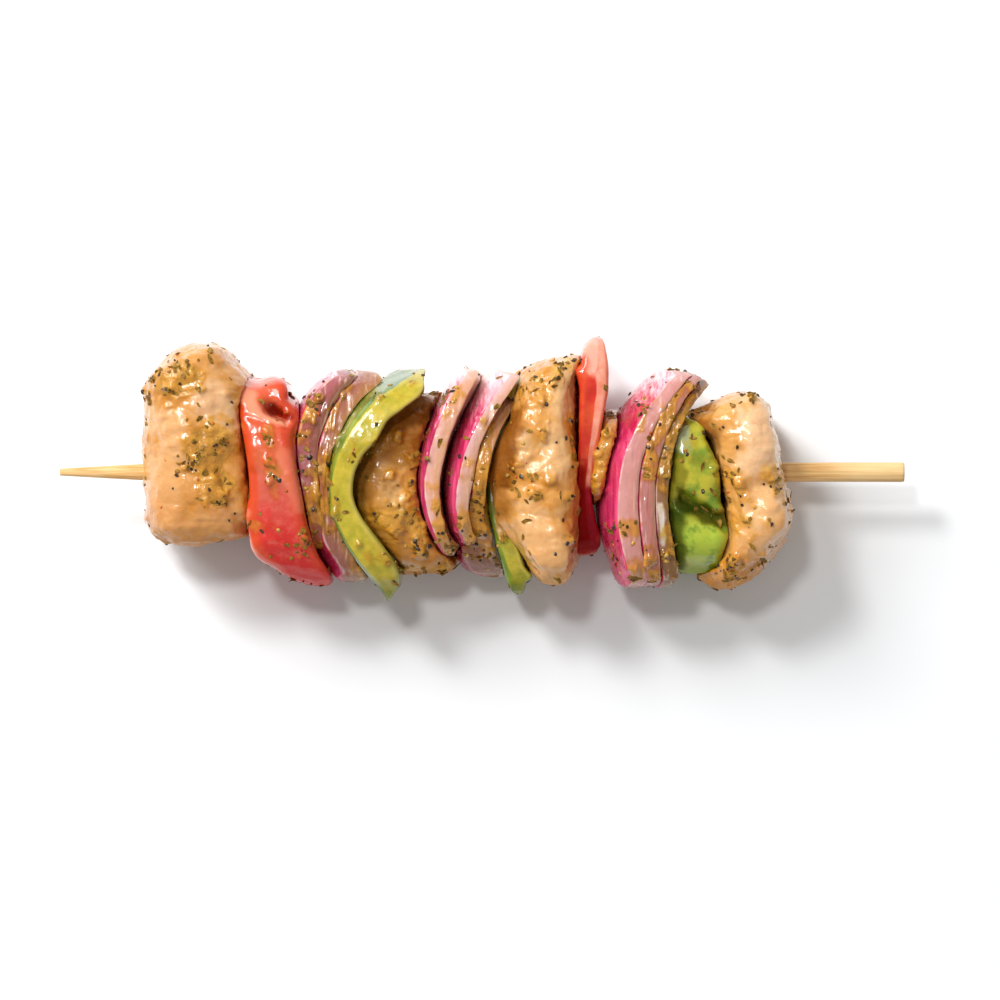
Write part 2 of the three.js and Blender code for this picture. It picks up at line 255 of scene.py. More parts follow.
def grid(p):
    """One piece as a fine closed grid: points, quads, and where each point is on the piece."""
    meat = p["kind"] == "chicken"
    rows = 150 if meat else 100
    if p["name"] == "chicken_scrap":
        rows = 70
    around = 0
    P, T, W, V = [], [], [], []
    for j in range(rows + 1):
        v = -math.cos(math.pi * (j + 0.3) / (rows + 0.6))
        # even out the rows towards the middle
        v = 0.55 * v + 0.45 * (-1 + 2 * (j + 0.3 * 0 + 0.02) / (rows + 0.04))
        u = abs(v)
        ex = (1 - u ** p.get("end", END[p["kind"]])) ** 0.5
        ez = (1 - u ** p["square"]) ** p["round"]
        hx = max(0.5, poly(v, p["thick"], p["taper"], p["belly"], p.get("flare", 0), p.get("swell", 0))) * ex
        hz = p["deep"] * ez
        ring = meat_ring(hx, hz, 130 if p["name"] == "chicken_scrap" else 230) if meat else slab_ring(hx, hz, CORNER[p["kind"]])
        around = len(ring)
        xm = poly(v, p["x"], p["lean"], p["bow"], p["hook"], p.get("curl", 0), p.get("twist", 0))
        zm = poly(v, p["z"], p.get("rise", 0), p.get("crown", 0))
        cup = poly(v, p.get("cup", 0), p.get("cupLean", 0), p.get("cupBow", 0))
        w = ring[:, 1] / hz
        if p["kind"] == "onion":
            cup = cup * min(1.0, ez / 0.55) ** 2      # a curled rim comes back to the middle where the petal closes
        P.append(np.stack([xm + ring[:, 0] + cup * w * w, np.full(around, p["y"] + p["tall"] * v), zm + ring[:, 1]], 1))
        T.append(ring[:, 0] / hx)
        W.append(w)
        V.append(np.full(around, v))
    P = np.concatenate(P)
    n = rows + 1
    if meat:
        ends = np.stack([P[:around].mean(0), P[-around:].mean(0)])
        P = np.concatenate([P, ends])
        T, W, V = T + [[0, 0]], W + [[0, 0]], V + [[-1, 1]]
    T, W, V = np.concatenate(T), np.concatenate(W), np.concatenate(V)
    i = np.arange(around)
    k = (i + 1) % around
    quads = np.concatenate([np.stack([j * around + i, (j + 1) * around + i, (j + 1) * around + k, j * around + k], 1) for j in range(n - 1)])
    if not meat:
        # a bent slab is closed by a strip from its right face across to its left one
        m = np.arange(around // 2)
        top = SIDE + ARC + RIM // 2
        a, b, a1, b1 = (top - m) % around, (top + m) % around, (top - m - 1) % around, (top + m + 1) % around
        strip = np.concatenate([np.stack([a, a1, b1], 1), np.stack([a, b1, b], 1)])
        strip = strip[(strip[:, 0] != strip[:, 1]) & (strip[:, 1] != strip[:, 2]) & (strip[:, 0] != strip[:, 2])]
        return P, quads, np.concatenate([strip[:, ::-1], strip + (n - 1) * around]), T, W, V
    m = n * around
    caps = np.concatenate([
        np.stack([np.full(around, m), i, k], 1),
        np.stack([np.full(around, m + 1), (n - 1) * around + k, (n - 1) * around + i], 1)])
    return P, quads, caps, T, W, V


def triangles(quads, caps):
    return np.concatenate([quads[:, [0, 1, 2]], quads[:, [0, 2, 3]], caps])


def normals(P, tri):
    a, b, c = P[tri[:, 0]], P[tri[:, 1]], P[tri[:, 2]]
    n = np.cross(b - a, c - a)
    out = np.zeros_like(P)
    for k in range(3):
        for d in range(3):
            out[:, d] += np.bincount(tri[:, k], n[:, d], len(P))
    return out / np.maximum(np.linalg.norm(out, axis=1), 1e-12)[:, None]


def make_mesh(name, P, polys, attrs=None, smooth_shade=True):
    """A mesh object from points in mm of the kebab's own layout."""
    me = bpy.data.meshes.new(name)
    pts = (P + SHIFT) * MM
    me.vertices.add(len(pts))
    me.vertices.foreach_set("co", pts.astype(np.float32).ravel())
    sizes = np.concatenate([np.full(len(q), q.shape[1]) for q in polys])
    loops = np.concatenate([q.ravel() for q in polys])
    me.loops.add(len(loops))
    me.loops.foreach_set("vertex_index", loops.astype(np.int32))
    me.polygons.add(len(sizes))
    me.polygons.foreach_set("loop_start", np.concatenate([[0], np.cumsum(sizes)[:-1]]).astype(np.int32))
    me.polygons.foreach_set("loop_total", sizes.astype(np.int32))
    me.update(calc_edges=True)
    me.validate()
    for key, value in (attrs or {}).items():
        a = me.attributes.new(key, "FLOAT", "POINT")
        a.data.foreach_set("value", np.asarray(value, np.float32))
    me.polygons.foreach_set("use_smooth", np.full(len(me.polygons), smooth_shade))
    ob = bpy.data.objects.new(name, me)
    bpy.context.scene.collection.objects.link(ob)
    return ob


# ---------------------------------------------------------------- relief that is particular to one piece
# A crease presses the surface in along a line seen from above; a bulge pushes it out.
# (x0, y0, x1, y1, radius, depth) in mm; a bulge has a negative depth.
CREASES = {
    "chicken_1": [(-62.0, 3.0, -57.5, -14.5, 2.2, 1.3), (-78.0, 22.0, -64.0, 27.5, 2.6, -1.2), (-80.0, -4.0, -70.0, -9.0, 2.4, 0.7),
                  (-73.0, 14.0, -66.0, 5.0, 5.0, -0.8)],
    "red_pepper_1": [(-50.6, 15.2, -45.6, 12.8, 1.45, 5.6), (-55.5, 13.0, -47.0, 10.0, 0.7, 0.5), (-54.0, -1.0, -51.0, -14.0, 1.6, 0.8),
                     (-51.0, 21.0, -48.0, 20.0, 2.4, -1.0)],
    "chicken_2": [(-20.0, 4.0, -16.0, -12.0, 3.0, 0.9), (-26.0, -4.0, -21.0, -18.0, 3.0, -0.9)],
    "chicken_3": [(10.0, -10.0, 20.0, -11.5, 1.8, 1.0), (12.0, 10.0, 17.0, 1.0, 4.0, -0.9), (8.0, -5.0, 14.0, 6.0, 2.2, 0.8),
                  (14.0, -24.0, 20.0, -21.0, 4.0, -0.8)],
    "green_pepper_3": [(47.0, -6.2, 57.5, -12.8, 1.7, 3.4), (49.0, 3.0, 54.0, -1.0, 3.5, -0.8), (51.0, -17.0, 54.0, -18.0, 3.6, -0.9)],
    "chicken_4": [(58.0, -1.0, 60.5, -12.0, 1.9, 1.2), (62.0, 14.0, 66.0, 6.0, 5.0, -1.2), (64.0, -4.0, 72.0, -2.0, 2.0, 1.0),
                  (68.0, -9.0, 70.0, -13.0, 3.2, -1.2)],
    "red_pepper_2": [(26.0, 18.0, 27.0, 2.0, 1.6, 0.5)],
}


def crease(P, N, name):
    top = smooth(0.05, 0.7, N[:, 2])
    out = np.zeros(len(P))
    for x0, y0, x1, y1, radius, depth in CREASES.get(name, ()):
        d = np.array([x1 - x0, y1 - y0])
        s = np.clip(((P[:, 0] - x0) * d[0] + (P[:, 1] - y0) * d[1]) / (d @ d), 0, 1)
        r = np.hypot(P[:, 0] - x0 - s * d[0], P[:, 1] - y0 - s * d[1])
        out -= depth * np.exp(-(r / radius) ** 2) * top
    return out


# Where a piece's looks change from place to place, as capsules seen from above:
# (what, x0, y0, x1, y1, radius, amount). "pool" is thick marinade; "pale" is bare flesh or membrane, and at a few
# glints a painted highlight; "dark" is painted shade in hollows, folds, low ends and where a neighbour shades the
# piece.
PAINT = {
    "chicken_1": [("pool", -79.0, 20.0, -68.0, 22.0, 2.6, 0.9), ("pool", -66.0, 6.0, -63.0, -4.0, 4.6, 1.0), ("pool", -62.0, 12.0, -59.0, 3.0, 3.0, 0.8),
                  ("pool", -78.0, -15.5, -77.0, -17.0, 2.0, 0.9), ("pool", -66.0, 28.0, -62.0, 27.0, 2.0, 0.5), ("pale", -64.0, 18.0, -60.5, 12.0, 4.0, 0.9),
                  # the last pale capsule on the next line, from (-74, 12) to (-72, 5), is a painted highlight where the
                  # wet film glints
                  ("pale", -76.0, 2.0, -74.0, -12.0, 3.6, 0.35), ("pale", -70.0, -14.0, -60.0, -12.0, 3.4, 0.35), ("pale", -74.0, 12.0, -72.0, 5.0, 3.0, 0.5),
                  ("bare", -76.0, 0.0, -73.0, -12.0, 5.0, 0.8), ("bare", -63.0, 17.0, -61.0, 14.0, 3.0, 0.8)],
    "chicken_2": [("painted_shade", -25.0, 12.0, -12.0, 17.0, 4.5, 0.95), ("painted_shade", -28.0, 3.0, -27.0, -4.0, 3.0, 0.7), ("painted_shade", -25.0, 7.0, -18.0, 6.0, 5.0, 0.5), ("pool", -20.0, -12.0, -12.0, -20.0, 4.5, 0.7),
                  ("pool", -17.0, -2.0, -12.0, -8.0, 3.0, 0.5), ("pale", -20.0, -24.0, -10.0, -24.5, 2.2, 0.9), ("pale", -22.0, -3.0, -21.0, -8.0, 2.4, 0.6)],
    "chicken_3": [("painted_shade", 6.5, 13.0, 4.8, -2.0, 3.0, 1.0), ("painted_shade", 3.6, -2.0, 5.0, -9.0, 2.2, 0.7), ("pool", 10.5, 23.0, 14.0, 17.0, 3.0, 0.9), ("pool", 13.0, 14.0, 17.0, 8.0, 3.0, 0.5), ("pool", 7.0, -1.5, 14.0, -4.0, 2.6, 1.0), ("bare", 15.0, 12.0, 18.0, 6.0, 3.2, 0.8),
                  # the pale capsule from (10, 7) to (11, 2) on the next line is a painted highlight where the wet film
                  # glints; the other pale capsules there are bare flesh
                  ("pool", 21.0, 12.0, 22.0, 2.0, 2.0, 0.6), ("pale", 12.0, -13.0, 17.0, -22.0, 5.0, 1.0), ("pale", 20.0, 24.0, 19.0, 16.0, 3.4, 1.0), ("pale", 17.0, 9.0, 18.5, 1.0, 2.6, 0.9), ("pale", 10.0, 7.0, 11.0, 2.0, 2.0, 0.8),
                  ("bare", 13.0, -15.0, 16.0, -20.0, 3.6, 0.8)],
    "chicken_4": [("pale", 66.0, 12.0, 66.0, 4.0, 4.6, 1.0), ("pale", 68.0, -6.0, 66.0, -16.0, 4.4, 0.6), ("painted_shade", 51.5, 10.5, 54.0, 8.5, 2.6, 0.9),
                  ("pool", 68.0, 0.0, 71.0, -3.0, 2.4, 1.0), ("pool", 58.0, -22.0, 61.0, -23.0, 2.8, 0.8), ("pool", 58.5, -1.0, 60.0, -4.0, 1.8, 0.7), ("bare", 64.0, 12.0, 67.0, 4.0, 4.0, 0.9)],
    "chicken_scrap": [("pool", 30.0, 12.0, 28.0, 2.0, 2.5, 0.8)],
    "onion_1a": [("pool", -41.0, 15.0, -43.0, 8.0, 2.0, 0.7), ("pool", -40.0, -1.0, -38.5, -18.0, 2.8, 1.0)],
    "onion_1b": [("pool", -33.0, 20.0, -37.0, 12.0, 2.4, 1.0), ("pool", -38.0, 4.0, -38.0, -8.0, 1.8, 0.7)],
    "onion_2": [("pool", -10.0, -8.0, -8.0, -18.0, 2.0, 0.9)],
    "onion_3a": [("pool", -5.0, -9.0, -4.0, -18.0, 2.4, 1.0)],
    "onion_3b": [("pool", 0.0, 10.0, 0.0, -14.0, 2.4, 0.9), ("pool", -5.0, -17.5, 3.0, -19.5, 2.6, 1.0), ("painted_shade", -6.0, -19.0, 1.0, -24.0, 3.6, 0.9)],
    "onion_4a": [("pool", 38.0, 16.0, 36.0, 12.0, 2.6, 0.7), ("pool", 36.0, -22.0, 37.0, -24.0, 2.2, 0.9)],
    "onion_4b": [("pool", 44.0, 19.0, 41.0, 9.0, 2.8, 1.0), ("pool", 40.0, 4.0, 40.0, 0.0, 1.8, 0.8), ("pool", 40.0, -20.0, 42.0, -24.0, 2.2, 0.9)],
    # the thin pale capsule from (42.3, -8) to (43, -17) is a painted highlight along the wet edge
    "onion_4c": [("pool", 48.0, 18.0, 43.0, 2.0, 2.6, 1.0), ("pool", 44.0, -14.0, 46.0, -24.0, 2.0, 0.6), ("pale", 42.3, -8.0, 43.0, -17.0, 0.6, 0.6)],
    "green_pepper_1": [("pool", -35.0, 0.0, -35.5, -14.0, 1.6, 0.5), ("pale", -27.0, 22.5, -16.5, 22.0, 2.2, 0.9)],
    "green_pepper_3": [("painted_shade", 47.0, -7.5, 57.0, -11.8, 1.9, 1.0), ("painted_shade", 46.2, -10.0, 46.2, -22.0, 1.9, 0.9), ("painted_shade", 46.5, 4.0, 47.0, -5.0, 1.3, 0.6), ("painted_shade", 48.5, -26.2, 56.0, -26.2, 1.3, 0.6)],
    "red_pepper_1": [("painted_shade", -50.4, 15.0, -46.0, 12.9, 1.0, 1.0), ("pool", -50.5, 10.0, -50.0, 7.0, 1.5, 0.9), ("pool", -50.0, 2.0, -49.0, -6.0, 1.3, 0.8), ("pale", -58.0, 20.0, -56.0, 17.6, 1.9, 1.0),
                     ("pale", -55.4, 17.0, -53.2, 13.8, 1.3, 1.0), ("pale", -52.6, 13.4, -46.5, 11.4, 0.8, 1.0), ("pale", -47.0, 4.0, -43.0, -8.0, 1.8, 0.35),
                     ("pale", -58.4, -10.0, -56.0, -19.0, 1.8, 1.0), ("pool", -42.0, -14.0, -43.0, -20.0, 1.3, 0.8)],
    "red_pepper_2": [("painted_shade", 24.0, -6.0, 26.0, -18.0, 3.4, 1.0), ("painted_shade", 23.5, 0.0, 23.5, -3.0, 1.6, 0.8), ("pale", 25.5, 31.0, 28.0, 25.0, 2.4, 1.0), ("pale", 29.0, 24.0, 30.2, 14.0, 0.9, 0.7)],
}


# Where the wet film is beaded and catches the light, as capsules: (x0, y0, x1, y1, radius, height)
BEADS = {
    "chicken_1": [(-73.0, 16.0, -71.5, 5.0, 3.4, 0.62), (-57.5, 16.0, -57.0, 11.0, 2.0, 0.4), (-76.0, 26.0, -66.0, 23.0, 2.4, 0.4)],
    "chicken_2": [(-22.0, -6.0, -18.0, -9.0, 2.4, 0.5), (-15.0, 2.0, -13.0, -2.0, 2.0, 0.4)],
    "chicken_3": [(8.5, 7.0, 10.0, 1.0, 2.6, 0.75), (12.0, -10.0, 10.0, -12.0, 1.8, 0.4)],
    "chicken_4": [(62.0, 11.0, 64.0, 7.0, 1.8, 0.35)],
    "green_pepper_3": [(53.0, -15.0, 55.0, -16.0, 1.6, 0.3)],
}


# Blobs of marinade that stand up from a piece: (x, y, radius)
BLOBS = {
    "chicken_1": [(-69.5, 24.5, 1.6), (-73.0, 20.0, 1.8), (-66.0, 19.5, 1.3), (-63.5, -2.0, 1.7), (-61.0, -5.0, 1.5), (-66.5, 3.0, 1.3), (-64.0, 10.0, 1.2), (-70.0, 1.0, 1.1)],
    "red_pepper_1": [(-51.0, 9.6, 1.5), (-50.6, 2.2, 1.6), (-50.0, -2.4, 1.3), (-42.2, -16.0, 1.2), (-46.0, 14.0, 1.0)],
    "onion_1a": [(-38.5, 17.5, 1.3), (-40.0, 12.0, 1.2), (-39.0, -6.0, 1.3)],
    "onion_1b": [(-33.5, 19.0, 1.5), (-36.5, 15.0, 1.4), (-37.0, 4.0, 1.0)],
    "green_pepper_1": [(-24.0, 17.5, 1.3), (-34.0, 8.0, 1.1), (-35.4, -10.0, 1.6), (-29.0, -17.0, 1.0)],
    "chicken_2": [(-20.0, 8.0, 1.7), (-16.0, 3.0, 1.9), (-22.0, -1.0, 1.6), (-18.0, -6.0, 1.8), (-13.0, -12.0, 1.5), (-20.0, -14.0, 1.7), (-25.0, -18.0, 1.6), (-15.0, -19.0, 1.8)],
    "onion_2": [(-11.0, 15.0, 1.0), (-13.0, 3.0, 0.9)],
    "onion_3a": [(-5.0, -13.0, 1.6), (-2.6, -16.5, 1.6), (0.0, 12.0, 1.0)],
    "onion_3b": [(1.5, 10.0, 1.3), (-1.0, -4.0, 1.3), (0.0, -14.0, 1.6), (2.0, -19.0, 1.4)],
    "green_pepper_2": [(5.0, -16.0, 1.0)],
    "chicken_3": [(14.5, 9.0, 1.7), (16.0, -2.0, 1.9), (12.0, -5.0, 1.5), (20.0, -6.0, 1.5), (14.0, 17.0, 1.5), (21.0, -16.0, 1.2), (17.0, 21.0, 1.2), (9.0, 2.0, 1.2)],
    "chicken_scrap": [(30.0, 9.0, 1.3), (28.0, 4.0, 1.2)],
    "onion_4a": [(37.5, 15.5, 1.5), (29.5, -4.0, 1.1), (30.2, -13.0, 1.3), (36.0, -23.0, 1.6)],
    "onion_4b": [(44.0, 18.6, 2.2), (42.0, 14.0, 1.7), (39.5, 6.0, 1.2), (39.5, -21.0, 1.8)],
    "onion_4c": [(47.5, 18.0, 1.6), (44.5, 8.0, 1.3), (43.0, -1.0, 1.2), (43.5, -20.0, 1.3)],
    "green_pepper_3": [(55.0, 1.0, 1.1), (56.0, -9.0, 1.2)],
    "chicken_4": [(69.5, -1.6, 2.0), (61.0, -3.0, 1.5), (57.5, -9.0, 1.4), (60.0, -21.0, 1.8), (71.0, 16.0, 1.5), (64.0, 17.5, 1.4), (66.0, -22.0, 1.4)],
}


def blobs(P, N, name):
    top = smooth(-0.05, 0.4, N[:, 2])
    lump = fbm(P, 1.7, 3, 71.0)
    out = np.zeros(len(P))
    for x0, y0, radius in BLOBS.get(name, ()):
        r = np.hypot(P[:, 0] - x0, P[:, 1] - y0) / radius
        out = np.maximum(out, smooth(1.25, 0.35, r * (1 + 1.0 * lump)) * top)
    return out


def beads(P, N, name, seed):
    lump = np.clip(0.5 + 1.6 * fbm(P, 2.3, 3, seed), 0, 1)
    out = np.zeros(len(P))
    for x0, y0, x1, y1, radius, height in BEADS.get(name, ()):
        d = np.array([x1 - x0, y1 - y0])
        s = np.clip(((P[:, 0] - x0) * d[0] + (P[:, 1] - y0) * d[1]) / (d @ d), 0, 1)
        r = np.hypot(P[:, 0] - x0 - s * d[0], P[:, 1] - y0 - s * d[1])
        out = np.maximum(out, height * np.exp(-(r / radius) ** 2))
    return out * lump * smooth(0.0, 0.5, N[:, 2])


def paint(P, N, name, what):
    top = smooth(-0.1, 0.45, N[:, 2])
    wander = 1.0 + 0.9 * fbm(P, 3.2, 3, 61.0)
    out = np.zeros(len(P))
    for kind, x0, y0, x1, y1, radius, amount in PAINT.get(name, ()):
        if kind != what:
            continue
        d = np.array([x1 - x0, y1 - y0])
        s = np.clip(((P[:, 0] - x0) * d[0] + (P[:, 1] - y0) * d[1]) / max(d @ d, 1e-6), 0, 1)
        r = np.hypot(P[:, 0] - x0 - s * d[0], P[:, 1] - y0 - s * d[1])
        out = np.maximum(out, amount * smooth(1.6, 0.55, r * wander / radius) * top)
    return out


# Which neighbours a piece gives way to: (name, +1 stays right of it / -1 stays left of it)
CONTACT = {
    "chicken_1": [("red_pepper_1", -1)],
    "onion_1a": [("red_pepper_1", 1)],
    "onion_1b": [("onion_1a", 1)],
    "green_pepper_1": [("onion_1b", 1)],
    "chicken_2": [("green_pepper_1", 1), ("onion_2", -1, 0.4)],
    "onion_3a": [("onion_2", 1)],
    "onion_3b": [("onion_3a", 1)],
    "green_pepper_2": [("onion_3b", 1)],
    "chicken_3": [("onion_3a", 1), ("onion_3b", 1), ("green_pepper_2", 1), ("red_pepper_2", -1)],
    "chicken_scrap": [("red_pepper_2", 1), ("onion_4a", -1)],
    "onion_4b": [("onion_4a", 1)],
    "onion_4c": [("onion_4b", 1)],
    "green_pepper_3": [("onion_4c", 1)],
    "chicken_4": [("green_pepper_3", 1)],
}


# Which neighbours a piece swells towards, and the most it may, in mm: the row is pressed together
FILL = {
    "chicken_1": [("red_pepper_1", 1, 5.0)],
    "red_pepper_1": [("onion_1a", 1, 2.5)],
    "onion_1a": [("onion_1b", 1, 3.0, 9.0, 0.02)],
    "onion_1b": [("green_pepper_1", 1, 3.5)],
    "green_pepper_1": [("chicken_2", 1, 1.5)],
    "chicken_2": [("green_pepper_1", -1, 6.0), ("onion_2", 1, 6.0, 0.85, 0.15)],
    "onion_2": [("onion_3a", 1, 2.6, 0.85)],
    "onion_3a": [("onion_3b", 1, 2.6)],
    "onion_3b": [("green_pepper_2", 1, 2.5)],
    "green_pepper_2": [("chicken_3", 1, 1.5)],
    "chicken_3": [("onion_3b", -1, 4.0), ("red_pepper_2", 1, 4.0)],
    "red_pepper_2": [("chicken_3", -1, 1.2)],
    "chicken_scrap": [("red_pepper_2", -1, 4.0), ("onion_4a", 1, 5.0)],
    "onion_4a": [("onion_4b", 1, 2.6)],
    "onion_4b": [("onion_4c", 1, 2.6)],
    "onion_4c": [("green_pepper_3", 1, 2.2)],
    "green_pepper_3": [("chicken_4", 1, 2.0)],
    "chicken_4": [("green_pepper_3", -1, 5.0)],
}
GROOVE = 0.22   # what is left between two petals

# Local pulls on a piece's outline, seen from above: (x, y, radius, dx, dy)
PULLS = {
    "chicken_1": [(-79.5, 27.0, 5.0, 0.3, -2.2), (-66.0, 29.0, 6.0, 0.0, 0.9), (-57.0, 27.0, 4.5, -0.8, -1.6), (-56.0, -19.0, 6.0, -1.0, 3.2),
                  (-79.0, -15.5, 5.0, -1.6, -0.8), (-72.0, -17.5, 6.0, 0.0, -0.8)],
    "red_pepper_1": [(-57.0, 21.5, 4.0, -1.8, 0.6), (-56.0, -12.0, 6.5, -2.6, 0.0), (-53.0, -19.5, 5.0, -2.8, -0.6), (-38.5, -25.0, 4.0, 1.6, -0.6), (-48.0, 21.5, 4.0, 1.2, 0.8), (-53.5, 22.5, 3.0, 0.0, -0.9)],
    "chicken_3": [(10.0, 23.0, 5.0, -1.2, 0.8), (21.0, 25.0, 5.0, 1.2, 1.6), (21.5, -26.0, 5.0, 1.0, -0.4), (22.0, 5.0, 5.0, 1.2, 0.0), (22.5, -5.0, 4.0, 1.0, 0.0)],
    "green_pepper_3": [(56.0, -15.0, 3.5, 1.6, 0.0), (54.5, -24.0, 3.5, 1.6, 0.2), (47.5, -24.0, 3.5, -0.6, 0.0), (50.0, 13.0, 3.5, -1.4, 0.4)],
    "chicken_4": [(56.0, 13.0, 4.0, -1.8, -0.2), (69.0, 15.0, 4.5, 1.2, 0.4), (70.5, 8.0, 4.0, 0.8, 0.0), (73.0, -11.0, 4.0, 0.6, 0.0),
                  (56.5, -22.0, 4.0, -0.8, -0.8), (58.0, -26.5, 4.0, 0.0, -0.6)],
    "chicken_2": [(-18.0, -23.5, 5.0, 0.0, -0.8)],
    "onion_1a": [(-40.0, -16.0, 5.0, 0.8, -3.2)],
    "onion_2": [(-14.5, 0.0, 13.0, -0.35, 0.0)],
    "onion_4a": [(27.5, 3.0, 6.5, -0.7, 0.0), (28.5, -12.0, 6.5, -0.7, 0.0)],
    "onion_1b": [(-38.5, -17.5, 4.5, -1.7, 0.0)],
    "green_pepper_1": [(-13.0, 16.5, 3.6, 2.6, -0.4), (-14.0, 24.5, 3.0, -1.6, 0.0), (-26.8, 8.4, 2.4, 0.9, -0.3), (-22.5, 12.5, 2.4, -0.6, 0.5)],
}


def build(p):
    name, kind = p["name"], p["kind"]
    i = INDEX[name]
    P, quads, caps, T, W, V = grid(p)
    tri = triangles(quads, caps)
    seed = 1.0 + i * 0.73
    meat = kind == "chicken"

    # big shape: uneven lumps in meat, slightly wavy and unevenly cut vegetables
    N = normals(P, tri)
    if meat:
        amp = 0.5 if name == "chicken_scrap" else 1.0
        P = P + N * (amp * (1.7 * fbm(P, 17, 2, seed) + 0.75 * fbm(P, 6.5, 2, seed + 3)))[:, None]
    else:
        wave = 0.45 * fbm(np.stack([P[:, 1], P[:, 2], 0 * P[:, 0] + i], 1), 15, 2, seed)
        P[:, 0] += wave
        cut = smooth(0.8, 1.0, np.abs(W))
        P[:, 2] += cut * 0.32 * fbm(np.stack([P[:, 1], np.sign(W) * 9 + i, 0 * W], 1), 7, 3, seed + 1)
        ends = smooth(0.75, 1.0, np.abs(V))
        P[:, 1] += ends * 0.7 * fbm(np.stack([P[:, 2], np.sign(V) * 9 + i, P[:, 0] * 0.6], 1), 7, 3, seed + 2)
    N = normals(P, tri)
    P = P + N * crease(P, N, name)[:, None]

    for x0, y0, radius, dx, dy in PULLS.get(name, ()):
        k = np.exp(-((P[:, 0] - x0) ** 2 + (P[:, 1] - y0) ** 2) / radius ** 2)
        P[:, 0] += dx * k
        P[:, 1] += dy * k

    # the row is pressed together, so a piece swells into what room there is
    own_left, own_right, _ = slab_faces(p, P[:, 1], P[:, 2])
    for other, side, most, *upto in FILL.get(name, ()):
        left, right, outside = slab_faces(PIECES[INDEX[other]], P[:, 1], P[:, 2])
        gap = (left - own_right if side > 0 else own_left - right) - (upto[1] if len(upto) > 1 else GROOVE)
        near = (1 - smooth(most * 1.2, most * 2.4, gap)) * np.exp(-outside / 2.0)
        if upto:
            near = near * smooth(upto[0], upto[0] - 0.5, W)
        P[:, 0] += side * np.clip(gap, 0, most) * near * np.clip((1 + side * T) / 2, 0, 1) ** 0.8

    # contact with the neighbours: soft things bulge round firm ones
    for other, side, *slack in CONTACT.get(name, ()):
        q = PIECES[INDEX[other]]
        left, right, outside = slab_faces(q, P[:, 1], P[:, 2])
        limit = right + 0.12 if side > 0 else left - 0.12
        limit = limit - side * outside * 1.6
        if slack:
            limit = limit + side * slack[0] * smooth(22, 35, P[:, 2]) * (outside < 0.01)
        P[:, 0] = press(P[:, 0], limit, side, 0.8 if meat else 0.15)

    # it rests on the plane that it lies on
    P[:, 2] = 0.02 + 0.5 * np.logaddexp(0, (P[:, 2] - 0.02) / 0.5) if meat else np.maximum(P[:, 2], 0.3)
    if meat:
        P[:, 2] = np.maximum(P[:, 2] - 0.35 * smooth(3, 0, P[:, 2]), 0.02)

    # marinade: where it lies thick, it stands proud of the surface
    N = normals(P, tri)
    pool = fbm(P, 8.5, 4, seed + 7) + 0.35 * fbm(P, 2.6, 3, seed + 9)
    bias = {"chicken": -0.10, "onion": -0.06, "green": -0.10, "red": -0.14}[kind]
    pool = pool + bias + 0.55 * paint(P, N, name, "pool") - 0.6 * paint(P, N, name, "bare")
    heap = blobs(P, N, name)
    mar = np.maximum(smooth(-0.06, 0.40, pool), 1.05 * heap)
    # pale capsules (bare flesh, and a painted highlight at a few glints) and dark capsules (painted shade), kept as
    # attributes for the materials
    pale, painted_shade = paint(P, N, name, "pale"), paint(P, N, name, "painted_shade")
    wet = fbm(P, 2.2, 3, seed + 21)
    if meat:
        # muscle fibres run round each chunk, with finer grain between them; the film of marinade beads on it
        along = fbm(np.stack([P[:, 0] * 0.35 + P[:, 2] * 0.25, P[:, 1], P[:, 2]], 1), [9, 1.5, 9], 3, seed + 11)
        relief = 0.22 * mar + 0.50 * mar * smooth(0.0, 0.55, wet)
        relief = relief + 0.13 * along * (1 - 0.5 * mar) + 0.42 * fbm(P, 3.4, 3, seed + 13) + 0.16 * (0.4 + mar) * fbm(P, 1.4, 3, seed + 14)
        relief = relief + 0.30 * smooth(0.18, 0.5, fbm(P, 3.2, 3, seed + 17))
    elif kind == "onion":
        skin = smooth(-0.5, -0.9, T)
        relief = (0.10 * mar + 0.28 * mar * smooth(0.05, 0.6, wet)) * (1 - 0.6 * skin)
        relief = relief + 0.08 * skin * fbm(np.stack([P[:, 0], P[:, 1] * 0.06, P[:, 2]], 1), [2, 1, 1.3], 3, seed + 11)
        rows_ = 0.30 if name in ("onion_4b", "onion_1b") else 0.10
        relief = relief + (0.14 * fbm(P, 1.8, 3, seed + 13) + rows_ * fbm(P, [0.9, 6.0, 6.0], 2, seed + 19)) * (1 - skin)
    else:
        relief = 0.10 * mar + 0.25 * mar * smooth(0.05, 0.6, wet) + 0.14 * fbm(P, 2.4, 3, seed + 13) + 0.15 * fbm(P, 7, 2, seed + 15)
    relief = relief + heap * (0.30 + 0.75 * np.clip(0.5 + 1.3 * fbm(P, 1.5, 3, seed + 23), 0, 1))
    relief = relief + beads(P, N, name, seed + 29)
    P = P + N * relief[:, None]
    P[:, 2] = np.maximum(P[:, 2], 0.02)
    ob = make_mesh(name + "_fine", P, [quads, caps], dict(t=T, w=W, v=V, mar=mar, pale=pale, painted_shade=painted_shade))
    return ob, P, tri, mar


